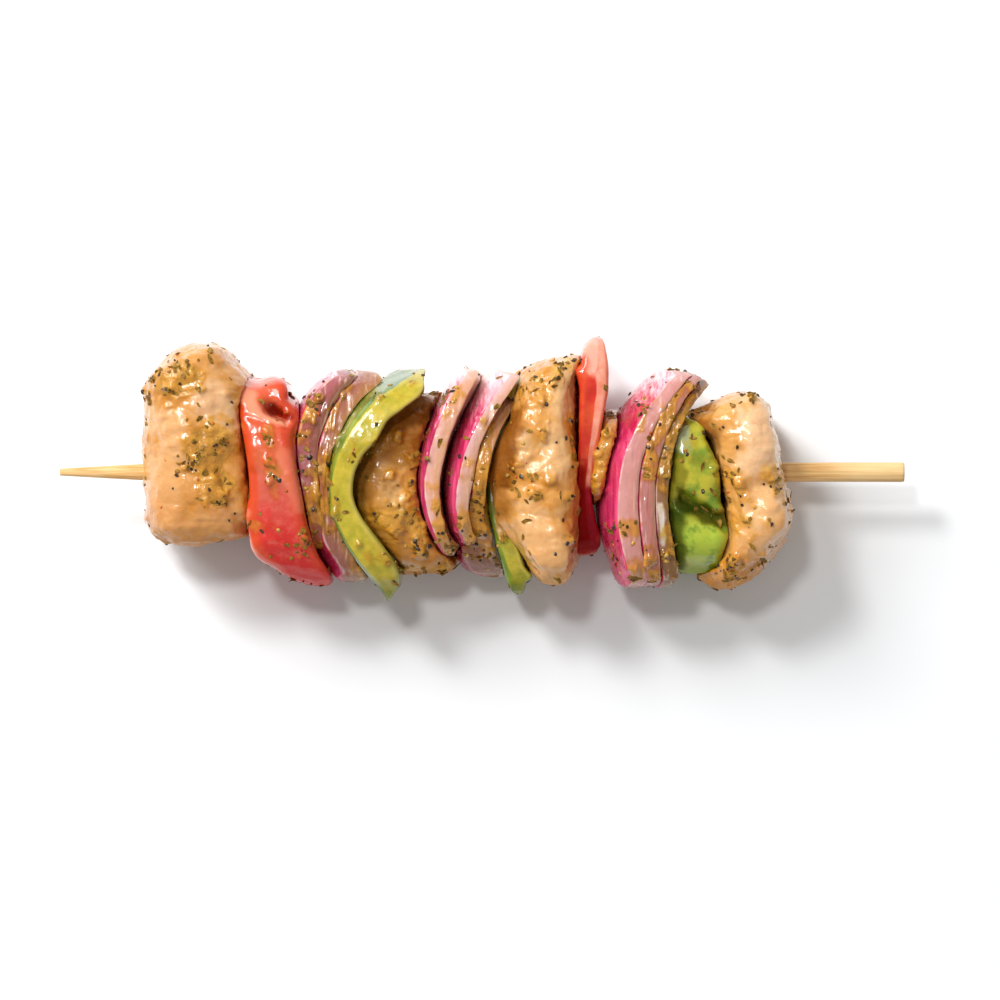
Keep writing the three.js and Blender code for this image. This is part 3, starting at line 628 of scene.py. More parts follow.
# ---------------------------------------------------------------- materials
class Nodes:
    """A short way to write a node tree. Sizes are in mm."""

    def __init__(self, name):
        self.mat = bpy.data.materials.new(name)
        self.mat.use_nodes = True
        self.t = self.mat.node_tree
        self.t.nodes.clear()
        self.coord = self.t.nodes.new("ShaderNodeTexCoord").outputs["Object"]

    def put(self, socket, value):
        if isinstance(value, bpy.types.NodeSocket):
            self.t.links.new(value, socket)
        elif value is not None:
            socket.default_value = (*value, 1.0) if isinstance(value, tuple) and len(value) == 3 and socket.type == "RGBA" else value

    def attr(self, name):
        n = self.t.nodes.new("ShaderNodeAttribute")
        n.attribute_name = name
        return n.outputs["Fac"]

    def noise(self, size, detail=3.0, rough=0.55, stretch=(1, 1, 1), seed=0.0, distort=0.0):
        m = self.t.nodes.new("ShaderNodeMapping")
        self.t.links.new(self.coord, m.inputs["Vector"])
        m.inputs["Scale"].default_value = tuple(1000.0 / size / s for s in stretch)
        m.inputs["Location"].default_value = (seed * 3.1, seed * 1.7, seed * 2.3)
        n = self.t.nodes.new("ShaderNodeTexNoise")
        self.t.links.new(m.outputs["Vector"], n.inputs["Vector"])
        n.inputs["Scale"].default_value = 1.0
        n.inputs["Detail"].default_value = detail
        n.inputs["Roughness"].default_value = rough
        n.inputs["Distortion"].default_value = distort
        return n.outputs["Fac"]

    def math(self, op, a, b=None, clamp=False):
        n = self.t.nodes.new("ShaderNodeMath")
        n.operation = op
        n.use_clamp = clamp
        self.put(n.inputs[0], a)
        if b is not None:
            self.put(n.inputs[1], b)
        return n.outputs[0]

    def fit(self, value, lo, hi, to_lo=0.0, to_hi=1.0):
        n = self.t.nodes.new("ShaderNodeMapRange")
        n.interpolation_type = "SMOOTHSTEP"
        self.put(n.inputs["Value"], value)
        for key, v in (("From Min", lo), ("From Max", hi), ("To Min", to_lo), ("To Max", to_hi)):
            n.inputs[key].default_value = v
        return n.outputs["Result"]

    def mix(self, fac, a, b, blend="MIX"):
        n = self.t.nodes.new("ShaderNodeMix")
        n.data_type = "RGBA"
        n.blend_type = blend
        self.put(n.inputs[0], fac)
        self.put(n.inputs[6], a)
        self.put(n.inputs[7], b)
        return n.outputs[2]

    def ramp(self, fac, stops):
        n = self.t.nodes.new("ShaderNodeValToRGB")
        self.put(n.inputs["Fac"], fac)
        e = n.color_ramp.elements
        while len(e) < len(stops):
            e.new(0.5)
        for el, (pos, col) in zip(e, stops):
            el.position = pos
            el.color = (*col, 1.0)
        return n.outputs["Color"]

    def bump(self, height, distance_mm, strength=1.0, normal=None):
        n = self.t.nodes.new("ShaderNodeBump")
        n.inputs["Strength"].default_value = strength
        n.inputs["Distance"].default_value = distance_mm * MM
        self.put(n.inputs["Height"], height)
        if normal is not None:
            self.put(n.inputs["Normal"], normal)
        return n.outputs["Normal"]

    def finish(self, color, rough, normal=None, sss=0.0, radius=(1, .4, .2), sss_scale=0.002, coat=0.0, coat_rough=0.1,
               spec=0.35, transmission=0.0, ior=1.45):
        b = self.t.nodes.new("ShaderNodeBsdfPrincipled")
        self.put(b.inputs["Base Color"], color)
        self.put(b.inputs["Roughness"], rough)
        b.inputs["Subsurface Weight"].default_value = sss
        b.inputs["Subsurface Radius"].default_value = radius
        b.inputs["Subsurface Scale"].default_value = sss_scale
        self.put(b.inputs["Coat Weight"], coat)
        b.inputs["Coat Roughness"].default_value = coat_rough
        self.put(b.inputs["Specular IOR Level"], spec)
        b.inputs["Transmission Weight"].default_value = transmission
        b.inputs["IOR"].default_value = ior
        if normal is not None:
            self.put(b.inputs["Normal"], normal)
            self.put(b.inputs["Coat Normal"], normal)
        o = self.t.nodes.new("ShaderNodeOutputMaterial")
        self.t.links.new(b.outputs[0], o.inputs[0])
        return self.mat


OCHRE = (0.66, 0.335, 0.038)        # marinade
OCHRE_DARK = (0.34, 0.175, 0.022)


def marinade(n, color, seed, amount=1.0, shift=0.0):
    """Lays the marinade over a surface: a clear golden tint where it is thin, its own colour where it lies thick."""
    edge = n.math("ADD", n.attr("mar"), n.math("MULTIPLY", n.math("SUBTRACT", n.noise(2.6, 5, 0.62, seed=seed), 0.5), 0.9))
    color = n.mix(n.fit(edge, shift - 0.15, shift + 0.85, 0.0, min(1.0, amount * 1.4)), color, (0.89, 0.73, 0.24), "MULTIPLY")
    film = n.fit(edge, shift + 0.45, shift + 1.25, 0.0, amount)
    tone = n.mix(n.fit(n.noise(3.2, 4, 0.6, seed=seed + 2), 0.40, 0.72), OCHRE, OCHRE_DARK)
    return n.mix(film, color, tone), film


# painted shade: multiplies a colour towards a shade tint where the dark capsules lie
def tint_painted_shade(n, color, to, amount=1.0):
    return n.mix(n.math("MULTIPLY", n.attr("painted_shade"), amount), color, to, "MULTIPLY")


def dull(n, most, least=0.1):
    """Less gloss where shade is painted in and at the low ends, where there is little to reflect."""
    return n.math("MULTIPLY", n.fit(n.attr("painted_shade"), 0.1, 0.8, most, least), n.fit(n.attr("v"), -0.96, -0.74, 0.12, 1.0))


def fine_bump(n, seed, film, deep=0.10):
    grains = n.noise(1.15, 3, 0.5, seed=seed)
    blobs = n.noise(1.9, 2, 0.5, seed=seed + 4)
    wet = n.math("MULTIPLY", n.fit(grains, 0.42, 0.72), n.math("ADD", n.math("MULTIPLY", film, 1.0), 0.15))
    h = n.math("ADD", n.math("MULTIPLY", wet, 0.8), n.math("MULTIPLY", blobs, 0.9))
    return n.bump(h, deep * 2.6, 0.85)


def chicken_material(name, seed, tint=(1, 1, 1), amount=0.7):
    n = Nodes(name)
    peach, gold, pale, fat = ((0.70, 0.34, 0.095), (0.62, 0.270, 0.036), (0.81, 0.49, 0.27), (0.83, 0.53, 0.30))
    peach, gold, pale, fat = (tuple(a * b for a, b in zip(c, tint)) for c in (peach, gold, pale, fat))
    c = n.mix(n.fit(n.noise(10, 4, seed=seed), 0.38, 0.62), peach, gold)
    # pale capsules: bare, paler flesh, and on chicken_1 and chicken_3 also a painted highlight where the wet film
    # glints
    c = n.mix(n.attr("pale"), c, pale)
    fibre = n.noise(1.5, 4, 0.6, stretch=(5.0, 1, 3.0), seed=seed + 2)
    c = n.mix(n.fit(fibre, 0.56, 0.76, 0, 0.30), c, fat)
    c = n.mix(n.fit(n.noise(2.0, 4, 0.6, seed=seed + 3), 0.50, 0.78, 0, 0.35), c, (0.60, 0.22, 0.05))
    # painted shade: darker and more golden towards the low end (v towards -1), the side turned away from the light
    c = n.mix(n.fit(n.math("ADD", n.attr("v"), n.math("MULTIPLY", n.noise(7, 3, seed=seed + 8), 0.6)), 0.15, -0.65, 0, 0.8), c, (0.84, 0.72, 0.56), "MULTIPLY")
    c, film = marinade(n, c, seed, amount)
    # painted shade on the chicken: a brown tint in hollows and where a neighbour shades it
    c = tint_painted_shade(n, c, (0.38, 0.27, 0.18))
    nor = fine_bump(n, seed, film, 0.085)
    rough = n.fit(n.noise(3.0, 3, seed=seed + 6), 0.3, 0.7, 0.24, 0.46)
    return n.finish(c, rough, nor, sss=0.42, radius=(1.0, 0.50, 0.24), sss_scale=0.0024, coat=dull(n, 0.85), coat_rough=0.06, spec=dull(n, 0.35, 0.05))


def onion_material(name, seed, fade=0.0, amount=0.6, left=(0.78, 0.44, 0.34), right=(0.70, 0.33, 0.16), skin_tone=1.0, skin_to=-0.94):
    """Magenta outside skin, a pale line where it is cut, pink flesh that turns tan towards the inside."""
    n = Nodes(name)
    t = n.attr("t")
    streak = n.noise(1.1, 4, 0.6, stretch=(1.0, 14.0, 3.5), seed=seed)
    skin = n.mix(n.fit(streak, 0.36, 0.66), tuple(x * skin_tone for x in (0.46, 0.010, 0.078)), tuple(x * skin_tone for x in (0.66, 0.062, 0.165)))
    skin = n.mix(n.fit(n.noise(2.6, 4, 0.6, stretch=(1.0, 5.0, 3.0), seed=seed + 12), 0.54, 0.74, 0, 0.5), skin, (0.72, 0.20, 0.28))
    if fade:
        skin = n.mix(n.fit(n.math("ADD", n.attr("v"), n.math("MULTIPLY", n.math("SUBTRACT", streak, 0.5), 1.0)), 1.0 - fade, 1.12, 0, 0.92), skin, (0.93, 0.74, 0.74))
    patchy = n.math("MULTIPLY", n.math("SUBTRACT", n.noise(5.0, 3, 0.55, stretch=(0.6, 3, 1), seed=seed + 1), 0.5), 1.6)
    flesh = n.mix(n.fit(n.math("ADD", t, patchy), -0.7, 0.8), left, right)
    lines = n.noise(0.8, 3, 0.5, stretch=(1.0, 12.0, 3.0), seed=seed + 3)
    flesh = n.mix(n.fit(lines, 0.54, 0.72, 0, 0.45), flesh, tuple(x * y for x, y in zip(left, (0.86, 0.55, 0.60))))
    flesh = n.mix(n.fit(lines, 0.42, 0.30, 0, 0.35), flesh, (0.88, 0.66, 0.56))
    flesh = n.mix(n.fit(t, 0.80, 0.96, 0, 0.45), flesh, (0.84, 0.58, 0.44))
    rim = n.math("MULTIPLY", n.fit(t, skin_to + 0.22, skin_to + 0.06), n.fit(n.noise(5.0, 3, seed=seed + 15), 0.40, 0.62, 0, 0.7))
    flesh = n.mix(rim, flesh, (0.88, 0.60, 0.54))
    # painted highlight: the one pale capsule on the onions, on onion_4c, lightens the flesh almost to white
    flesh = n.mix(n.math("MULTIPLY", n.attr("pale"), 0.8), flesh, (0.92, 0.86, 0.78))
    c, film = marinade(n, flesh, seed, amount, 0.05)
    ragged = 0.05 + 0.9 * (skin_to + 0.94)
    torn = n.math("ADD", t, n.math("MULTIPLY", n.math("SUBTRACT", n.noise(1.3, 3, stretch=(1, 4, 1), seed=seed + 5), 0.5), ragged))
    c = n.mix(n.fit(torn, skin_to - 0.015, skin_to + 0.015 + 0.25 * (skin_to + 0.94)), skin, c)
    c2, _ = marinade(n, c, seed + 9, amount * 0.5, 0.35)
    # painted shade on the onion: a purplish brown tint at its shaded low end
    c2 = tint_painted_shade(n, c2, (0.42, 0.24, 0.34))
    nor = fine_bump(n, seed, film, 0.05)
    rough = n.fit(n.noise(3.0, 3, seed=seed + 6), 0.3, 0.7, 0.16, 0.30)
    return n.finish(c2, rough, nor, sss=0.25, radius=(1.0, 0.6, 0.5), sss_scale=0.0013, coat=dull(n, 0.8), coat_rough=0.06)


def pepper_material(name, seed, skin_a, skin_b, flesh_a, flesh_b, inner, amount=0.5, skin_limit=-0.55, pale=(0.18, 0.26, 0.19)):
    """Glossy skin outside, juicy cut edges and a pale inner wall."""
    n = Nodes(name)
    t = n.attr("t")
    skin = n.mix(n.fit(n.noise(7.0, 3, seed=seed), 0.36, 0.66), skin_a, skin_b)
    skin = n.mix(n.attr("pale"), skin, pale)
    flesh = n.mix(n.fit(n.noise(2.6, 4, 0.6, seed=seed + 1), 0.35, 0.7), flesh_a, flesh_b)
    flesh = n.mix(n.fit(n.noise(0.7, 3, 0.6, seed=seed + 14), 0.50, 0.74, 0, 0.35), flesh, inner)
    flesh = n.mix(n.fit(t, 0.4, 0.95), flesh, inner)
    flesh = n.mix(n.fit(t, 0.72, 0.90, 0, 0.75), flesh, skin_b)
    c, film = marinade(n, flesh, seed, amount, 0.10)
    wander = n.math("MULTIPLY", n.math("SUBTRACT", n.noise(4.0, 2, seed=seed + 8), 0.5), 0.2)
    side = n.math("ADD", t, wander)
    c = n.mix(n.fit(side, skin_limit - 0.08, skin_limit + 0.03), skin, c)
    c, _ = marinade(n, c, seed + 9, amount * 0.8, 0.25)
    # painted shade: the low end (v towards -1) turns towards the darker skin colour, where the end turns away from the
    # light
    c = n.mix(n.fit(n.attr("v"), -0.74, -0.96, 0, 0.55), c, skin_a)
    # painted shade on the peppers: a dark red tint where the piece lies in shade
    c = tint_painted_shade(n, c, (0.42, 0.035, 0.12))
    nor = fine_bump(n, seed, film, 0.05)
    rough = n.fit(n.noise(4.0, 3, seed=seed + 6), 0.3, 0.7, 0.14, 0.30)
    return n.finish(c, rough, nor, sss=0.15, radius=(0.8, 0.6, 0.2), sss_scale=0.001, coat=dull(n, 0.8, 0.05), coat_rough=0.05, spec=dull(n, 0.35, 0.05))


def red_slice_material(name, seed):
    """The big red slice: salmon cut flesh at the top, orange in the middle, red at the low end, an orange skin line."""
    n = Nodes(name)
    t, v = n.attr("t"), n.attr("v")
    wander = n.math("MULTIPLY", n.math("SUBTRACT", n.noise(5.0, 3, seed=seed), 0.5), 0.5)
    along = n.fit(n.math("ADD", v, wander), -1.0, 1.0)
    c = n.ramp(along, [(0.06, (0.60, 0.014, 0.010)), (0.26, (0.60, 0.040, 0.028)), (0.48, (0.56, 0.105, 0.060)), (0.66, (0.60, 0.11, 0.030)), (0.80, (0.62, 0.085, 0.020)), (0.92, (0.60, 0.085, 0.028))])
    c = n.mix(n.fit(n.noise(2.2, 4, 0.6, seed=seed + 1), 0.45, 0.75, 0, 0.35), c, (0.72, 0.22, 0.15))
    c = n.mix(n.fit(n.math("ADD", t, n.math("MULTIPLY", wander, 0.3)), 0.35, 0.75, 0, 0.85), c, (0.58, 0.045, 0.010))
    c = n.mix(n.fit(n.math("ADD", t, n.math("MULTIPLY", wander, 0.2)), -0.55, -0.80, 0, 0.9), c, (0.64, 0.060, 0.010))
    c = n.mix(n.attr("pale"), c, (0.80, 0.27, 0.15))
    c, film = marinade(n, c, seed, 0.6, 0.15)
    c = n.mix(n.fit(v, -0.70, -0.94, 0, 0.9), c, (0.60, 0.018, 0.012))
    # painted shade in the curled hollow at the top of the red slice
    c = tint_painted_shade(n, c, (0.34, 0.10, 0.09))
    nor = fine_bump(n, seed, film, 0.05)
    return n.finish(c, n.fit(n.noise(4.0, 3, seed=seed + 6), 0.3, 0.7, 0.14, 0.28), nor, sss=0.2, radius=(1, .35, .2), sss_scale=0.0015, coat=dull(n, 0.8), coat_rough=0.05, spec=dull(n, 0.35, 0.05))


def folded_green_material(name, seed):
    """Glossy skin, yellower on the swells, with the pale inner wall showing at the top."""
    n = Nodes(name)
    t, v = n.attr("t"), n.attr("v")
    c = n.mix(n.fit(n.math("ADD", n.noise(6.0, 3, seed=seed), n.math("MULTIPLY", v, 0.10)), 0.36, 0.60), (0.17, 0.26, 0.014), (0.45, 0.40, 0.026))
    c = n.mix(n.fit(v, -0.20, -0.45, 0, 0.85), c, (0.38, 0.47, 0.036))
    c = n.mix(n.fit(n.noise(3.4, 4, 0.6, seed=seed + 3), 0.50, 0.68, 0, 0.7), c, (0.09, 0.20, 0.012))
    pale = n.math("MULTIPLY", n.fit(v, 0.42, 0.62), n.fit(t, 0.15, -0.25))
    c = n.mix(pale, c, (0.36, 0.38, 0.19))
    c, film = marinade(n, c, seed, 0.5, 0.25)
    # painted shade: a dark olive low end, where the lobe turns down away from the light
    c = n.mix(n.fit(v, -0.80, -0.95, 0, 0.6), c, (0.20, 0.26, 0.010))
    # painted shade in the folds, on the shaded left edge and at the low end of the folded pepper
    c = tint_painted_shade(n, c, (0.12, 0.11, 0.16), 0.92)
    nor = fine_bump(n, seed, film, 0.04)
    return n.finish(c, n.fit(n.noise(4.0, 3, seed=seed + 6), 0.3, 0.7, 0.10, 0.24), nor, sss=0.1, radius=(.5, .8, .2), sss_scale=0.001, coat=dull(n, 0.8), coat_rough=0.04, spec=dull(n, 0.35, 0.05))


def bamboo_material():
    n = Nodes("bamboo")
    grain = n.noise(0.55, 4, 0.6, stretch=(40, 1, 1), seed=1)
    c = n.mix(n.fit(grain, 0.35, 0.68), (0.80, 0.52, 0.22), (0.58, 0.30, 0.09))
    c = n.mix(n.fit(n.noise(9, 3, stretch=(3, 1, 1), seed=3), 0.4, 0.7, 0, 0.5), c, (0.88, 0.66, 0.34))
    c = n.mix(n.fit(n.noise(0.3, 2, 0.5, stretch=(30, 1, 1), seed=5), 0.68, 0.8, 0, 0.55), c, (0.38, 0.20, 0.07))
    return n.finish(c, n.fit(grain, 0.3, 0.7, 0.5, 0.7), n.bump(grain, 0.12, 0.8), sss=0.05, coat=0.05, coat_rough=0.4)


GREEN = dict(skin_a=(0.10, 0.17, 0.010), skin_b=(0.26, 0.31, 0.022), flesh_a=(0.39, 0.335, 0.018), flesh_b=(0.56, 0.42, 0.03), inner=(0.58, 0.44, 0.09))
RED = dict(skin_a=(0.58, 0.020, 0.008), skin_b=(0.70, 0.075, 0.014), flesh_a=(0.72, 0.20, 0.12), flesh_b=(0.82, 0.34, 0.24), inner=(0.76, 0.28, 0.18))
MATERIALS = {
    "chicken_1": lambda s: chicken_material("chicken one", s, tint=(0.93, 0.91, 0.86), amount=0.75),
    "chicken_2": lambda s: chicken_material("chicken two", s, tint=(0.84, 0.84, 0.62), amount=0.85),
    "chicken_3": lambda s: chicken_material("chicken three", s, tint=(0.96, 0.93, 0.74), amount=0.55),
    "chicken_4": lambda s: chicken_material("chicken four", s, tint=(1.03, 1.06, 1.04), amount=0.55),
    "chicken_scrap": lambda s: chicken_material("chicken scrap", s, tint=(0.85, 0.78, 0.6), amount=0.9),
    "onion_1a": lambda s: onion_material("onion one a", s, 0.15, 0.8, (0.38, 0.108, 0.120), (0.23, 0.072, 0.044)),
    "onion_1b": lambda s: onion_material("onion one b", s, 0.0, 0.8, (0.34, 0.12, 0.09), (0.36, 0.155, 0.048)),
    "onion_2": lambda s: onion_material("onion two", s, 0.50, 0.6, (0.74, 0.41, 0.35), (0.62, 0.32, 0.19), skin_tone=0.95, skin_to=-0.60),
    "onion_3a": lambda s: onion_material("onion three a", s, 0.62, 0.6, (0.72, 0.43, 0.42), (0.56, 0.30, 0.20), skin_tone=1.1, skin_to=-0.62),
    "onion_3b": lambda s: onion_material("onion three b", s, 0.0, 0.8, (0.56, 0.28, 0.14), (0.46, 0.21, 0.07)),
    "onion_4a": lambda s: onion_material("onion four a", s, 0.35, 0.65, (0.62, 0.29, 0.27), (0.54, 0.23, 0.19), skin_tone=1.15, skin_to=-0.86),
    "onion_4b": lambda s: onion_material("onion four b", s, 0.3, 0.8, (0.46, 0.18, 0.17), (0.38, 0.15, 0.10)),
    "onion_4c": lambda s: onion_material("onion four c", s, 0.2, 0.8, (0.26, 0.12, 0.05), (0.22, 0.11, 0.035)),
    "green_pepper_1": lambda s: pepper_material("green pepper one", s, **GREEN, amount=0.5, skin_limit=-0.80),
    "green_pepper_2": lambda s: pepper_material("green pepper two", s, **{**GREEN, "flesh_a": (0.28, 0.25, 0.014), "flesh_b": (0.42, 0.34, 0.024)}, amount=0.8),
    "green_pepper_3": lambda s: folded_green_material("green pepper three", s),
    "red_pepper_1": lambda s: red_slice_material("red pepper one", s),
    "red_pepper_2": lambda s: pepper_material("red pepper two", s, **RED, amount=0.3, skin_limit=0.2, pale=(0.84, 0.36, 0.26)),
}


def place(ob, mat, node=None):
    ob.data.materials.append(mat)
    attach(ob, "root")
    if node:
        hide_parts(node)


surfaces = []
for p in PIECES:
    ob, P, tri, mar = build(p)
    place(ob, MATERIALS[p["name"]](1.0 + INDEX[p["name"]] * 1.37), p["name"])
    surfaces.append((p, P, tri, mar))


# ---------------------------------------------------------------- the stick
def stick():
    rows, around = 420, 40
    x = np.linspace(-STICK["length"] / 2, STICK["length"] / 2, rows)
    r = np.interp(x, [-STICK["length"] / 2, -STICK["length"] / 2 + STICK["taper"], STICK["length"] / 2], [STICK["tip"], STICK["neck"], STICK["radius"]])
    a = np.linspace(0, 2 * math.pi, around, endpoint=False)
    X, A = np.meshgrid(x, a, indexing="ij")
    R = np.repeat(r[:, None], around, 1)
    flat = np.stack([X.ravel(), np.cos(A).ravel() * 2.4, np.sin(A).ravel() * 2.4], 1)
    R = R.ravel() * (1 - 0.035 * (1 + np.cos(3 * A.ravel() + 0.8)) / 2)          # split and scraped, not quite round
    R = R + 0.07 * fbm(flat, [22, 0.7, 0.7], 3, 2.0) + 0.06 * fbm(flat, [40, 2.5, 2.5], 2, 5.0)
    R = R - 0.10 * smooth(STICK["length"] / 2 - 0.5, STICK["length"] / 2, X.ravel())
    R = np.minimum(R, STICK["radius"])
    P = np.stack([X.ravel(), R * np.cos(A.ravel()), STICK["z"] + R * np.sin(A.ravel())], 1)
    i = np.arange(around); k = (i + 1) % around
    quads = np.concatenate([np.stack([j * around + i, j * around + k, (j + 1) * around + k, (j + 1) * around + i], 1) for j in range(rows - 1)])
    rings = []
    base = len(P)
    extra, caps = [], []
    for end, j, x0, sgn in ((0, 0, -STICK["length"] / 2, -1), (1, rows - 1, STICK["length"] / 2, 1)):
        last = P[j * around:(j + 1) * around]
        mid = last.mean(0)
        prev = j * around + i
        for f in (0.75, 0.45, 0.2):
            ring = mid + (last - mid) * f
            ring[:, 0] = x0 - sgn * 0.04 * np.random.default_rng(int(f * 100) + end).random(around)
            ids = base + len(extra) * 0 + sum(len(e) for e in extra) + i
            extra.append(ring)
            quads = np.concatenate([quads, np.stack([prev, ids, ids[k], prev[k]] if sgn < 0 else [prev, prev[k], ids[k], ids], 1)])
            prev = ids
        m = base + sum(len(e) for e in extra)
        extra.append(mid[None] * 1.0)
        caps.append(np.stack([np.full(around, m), prev[k], prev] if sgn < 0 else [np.full(around, m), prev, prev[k]], 1))
    P = np.concatenate([P] + extra)
    return make_mesh("stick_fine", P, [quads, np.concatenate(caps)])


place(stick(), bamboo_material(), "stick")


# ---------------------------------------------------------------- what is scattered over it
allP, allT, allM, allK, off = [], [], [], [], 0
for p, P, tri, mar in surfaces:
    allP.append(P); allT.append(tri + off); allM.append(mar)
    allK.append(np.full(len(tri), INDEX[p["name"]])); off += len(P)
allP, allT, allM, allK = np.concatenate(allP), np.concatenate(allT), np.concatenate(allM), np.concatenate(allK)
A3, B3, C3 = allP[allT[:, 0]], allP[allT[:, 1]], allP[allT[:, 2]]
FN = np.cross(B3 - A3, C3 - A3)
AREA = np.linalg.norm(FN, axis=1) / 2
FN = FN / np.maximum(2 * AREA, 1e-12)[:, None]
TREE = BVHTree.FromPolygons(allP.tolist(), allT.tolist())


def spots(count, seed, weight):
    """Points on open surface: none in the narrow gaps, inside another piece or underneath."""
    rng = np.random.default_rng(seed)
    w = AREA * weight
    f = rng.choice(len(allT), size=count * 3, p=w / w.sum())
    r1, r2 = np.sqrt(rng.random(len(f))), rng.random(len(f))
    q = A3[f] * (1 - r1)[:, None] + B3[f] * (r1 * (1 - r2))[:, None] + C3[f] * (r1 * r2)[:, None]
    out, nor = [], []
    for pt, nn in zip(q, FN[f]):
        start = Vector(pt + nn * 0.25)
        if pt[2] < 1.2:
            continue
        if TREE.ray_cast(start, Vector(nn), 2.2)[0] is not None:
            continue
        # a point hidden inside a neighbour sees the back of a face on its way out
        hit = TREE.ray_cast(start, Vector((0.13, 0.21, 0.97)))
        if hit[0] is not None and hit[1].dot(Vector((0.13, 0.21, 0.97))) > 0:
            continue
        out.append(pt); nor.append(nn)
        if len(out) == count:
            break
    return np.array(out), np.array(nor), rng


def frames(nor, rng):
    h = rng.normal(size=nor.shape)
    u = np.cross(nor, h); u /= np.linalg.norm(u, axis=1)[:, None]
    return u, np.cross(nor, u)


def join(parts, name, mat, smooth_shade=True):
    P, F, n = [], [], 0
    for pts, faces in parts:
        P.append(pts); F.append(faces + n); n += len(pts)
    ob = make_mesh(name, np.concatenate(P), [np.concatenate(F)], smooth_shade=smooth_shade)
    place(ob, mat)
    return ob


def ico(sub):
    import bmesh
    bm = bmesh.new()
    bmesh.ops.create_icosphere(bm, subdivisions=sub, radius=1.0)
    v = np.array([x.co[:] for x in bm.verts]); f = np.array([[x.index for x in g.verts] for g in bm.faces])
    bm.free()
    return v, f


ICO1 = ico(1)


def leaf(rng, length, width):
    """A dried herb flake: a torn, bent sliver with a little thickness."""
    n = rng.integers(6, 9)
    a = np.sort(rng.random(n) * 0.5 + np.arange(n)) / n * 2 * math.pi
    r = 0.62 + 0.5 * rng.random(n)
    x, y = np.cos(a) * r * length / 2, np.sin(a) * r * width / 2
    bend = rng.normal(0, 0.18) / max(length, 0.5)
    z = bend * x * x + rng.normal(0, 0.05, n)
    top = np.stack([x, y, z + 0.05], 1)
    pts = np.concatenate([top, top - [0, 0, 0.11], [[0, 0, 0.10], [0, 0, -0.06]]])
    i = np.arange(n); k = (i + 1) % n
    f = np.concatenate([np.stack([np.full(n, 2 * n), i, k], 1), np.stack([np.full(n, 2 * n + 1), n + k, n + i], 1),
                        np.stack([i, n + i, n + k], 1), np.stack([i, n + k, k], 1)])
    return pts, f


def scatter(name, count, seed, weight, shape, mat, lift=0.0, tilt=0.0, smooth_shade=True):
    q, nor, rng = spots(count, seed, weight)
    nor = nor + rng.normal(0, tilt, nor.shape)
    nor /= np.linalg.norm(nor, axis=1)[:, None]
    u, v = frames(nor, rng)
    parts = []
    for c, a, b, n in zip(q, u, v, nor):
        pts, f = shape(rng)
        parts.append((c + pts[:, :1] * a + pts[:, 1:2] * b + (pts[:, 2:] + lift) * n, f))
    return join(parts, name, mat, smooth_shade)


def plain(name, a, b, rough, size=1.2, **kw):
    n = Nodes(name)
    c = n.mix(n.fit(n.noise(size, 3, seed=len(name)), 0.38, 0.66), a, b)
    return n.finish(c, n.fit(n.noise(size * 2, 2, seed=2.0), 0.3, 0.7, rough * 0.8, rough * 1.2), n.bump(n.noise(0.25, 3, seed=4), 0.05, 0.6), **kw)


def chunk(lo, hi, flat=0.7):
    def make(rng):
        v, f = ICO1
        s = rng.uniform(lo, hi) / 2
        pts = v * (1 + rng.normal(0, 0.22, (len(v), 1))) * s * np.array([1, rng.uniform(0.6, 1), flat * rng.uniform(0.6, 1)])
        return pts, f
    return make


onmar = allM[allT].mean(1)
kind_w = np.array([{"chicken": 1.0, "onion": 0.75, "green": 0.8, "red": 0.9}[p["kind"]] for p in PIECES])[allK]
clump = smooth(-0.05, 0.45, fbm((A3 + B3 + C3) / 3, 7, 3, 41.0))
w_all = kind_w * (0.12 + 1.5 * onmar ** 1.5) * (0.2 + 1.6 * clump)

scatter("herb_flakes", 900, 101, w_all, lambda r: leaf(r, 1.0 + 2.6 * r.random() ** 1.6, 0.7 + 1.0 * r.random() ** 1.3),
        plain("dried herbs", (0.33, 0.175, 0.022), (0.115, 0.055, 0.008), 0.6, coat=0.05, spec=0.2), lift=0.10, tilt=0.25, smooth_shade=False)
scatter("ground_pepper", 420, 102, w_all, chunk(0.4, 1.45), plain("ground pepper", (0.014, 0.010, 0.006), (0.055, 0.028, 0.012), 0.4, coat=0.4), lift=0.10, tilt=0.2, smooth_shade=False)
scatter("chilli_bits", 70, 103, w_all, chunk(0.4, 1.1, 0.5), plain("chilli", (0.60, 0.13, 0.02), (0.42, 0.07, 0.01), 0.35, coat=0.4), lift=0.08)
scatter("garlic_bits", 90, 104, w_all, chunk(0.7, 1.9, 0.4), plain("garlic", (0.62, 0.34, 0.06), (0.50, 0.24, 0.03), 0.3, coat=0.6, sss=0.3), lift=0.02)


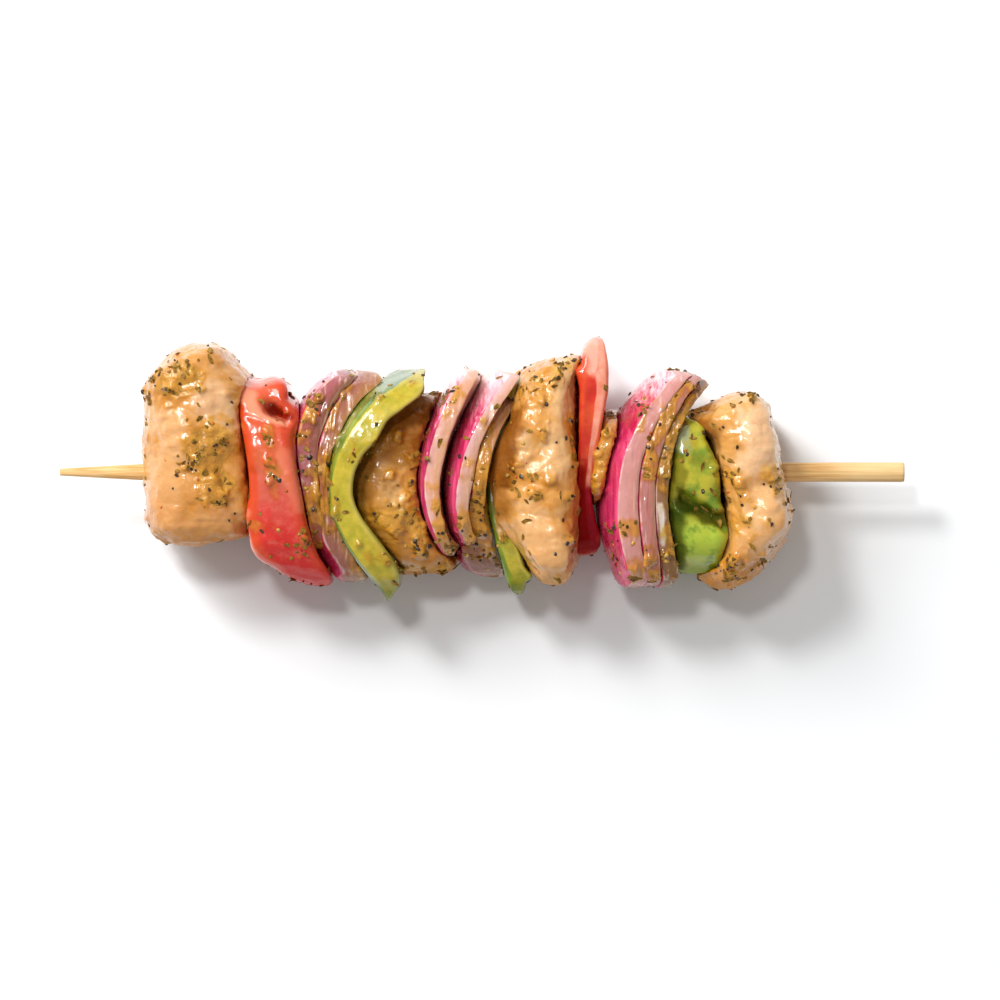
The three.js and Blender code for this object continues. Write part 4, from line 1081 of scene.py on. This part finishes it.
# ---------------------------------------------------------------- floor, light, camera
def floor():
    n = Nodes("floor")
    c = n.mix(n.fit(n.noise(60, 2), 0.4, 0.6, 0, 1), (0.885, 0.90, 0.912), (0.870, 0.885, 0.898))
    m = n.finish(c, n.fit(n.noise(30, 2), 0.3, 0.7, 0.85, 0.95), spec=0.1)
    me = bpy.data.meshes.new("floor")
    me.from_pydata([(-3, -3, 0), (3, -3, 0), (3, 3, 0), (-3, 3, 0)], [], [(0, 1, 2, 3)])
    ob = bpy.data.objects.new("floor", me)
    bpy.context.scene.collection.objects.link(ob)
    me.materials.append(m)


floor()

scene = bpy.context.scene
scene.view_settings.view_transform = "Standard"
scene.view_settings.look = "None"
scene.view_settings.exposure = 0.0
scene.view_settings.gamma = 1.0

world = bpy.data.worlds.new("studio")
scene.world = world
world.use_nodes = True
world.node_tree.nodes["Background"].inputs[0].default_value = (1.0, 1.0, 1.0, 1.0)
world.node_tree.nodes["Background"].inputs[1].default_value = 0.39


def area(name, place_m, target_m, size, power):
    light = bpy.data.lights.new(name, "AREA")
    light.shape = "DISK"
    light.size = size
    light.energy = power
    ob = bpy.data.objects.new(name, light)
    scene.collection.objects.link(ob)
    ob.location = place_m
    ob.rotation_euler = (Vector(target_m) - Vector(place_m)).to_track_quat("-Z", "Y").to_euler()


area("key", (-0.78, 0.80, 0.95), (0, 0, 0.02), 0.80, 14.5)
area("window", (-0.50, 0.62, 1.15), (0, 0, 0.02), 0.26, 7.5)
area("spark", (-0.20, 0.34, 1.35), (0, 0, 0.02), 0.13, 4.6)

camera = bpy.data.cameras.new("camera")
camera.lens = 180.0
camera.sensor_width = 36.0
camera.clip_start = 0.05
camera.clip_end = 20.0
cam = bpy.data.objects.new("camera", camera)
scene.collection.objects.link(cam)
FIELD = 0.240
cx, cy = (0.00432 + SHIFT[0] * MM), (-0.00672 + SHIFT[1] * MM)
cam.location = (cx, cy, 0.024 + FIELD / 36.0 * camera.lens)
cam.rotation_euler = (0, 0, 0)
scene.camera = cam
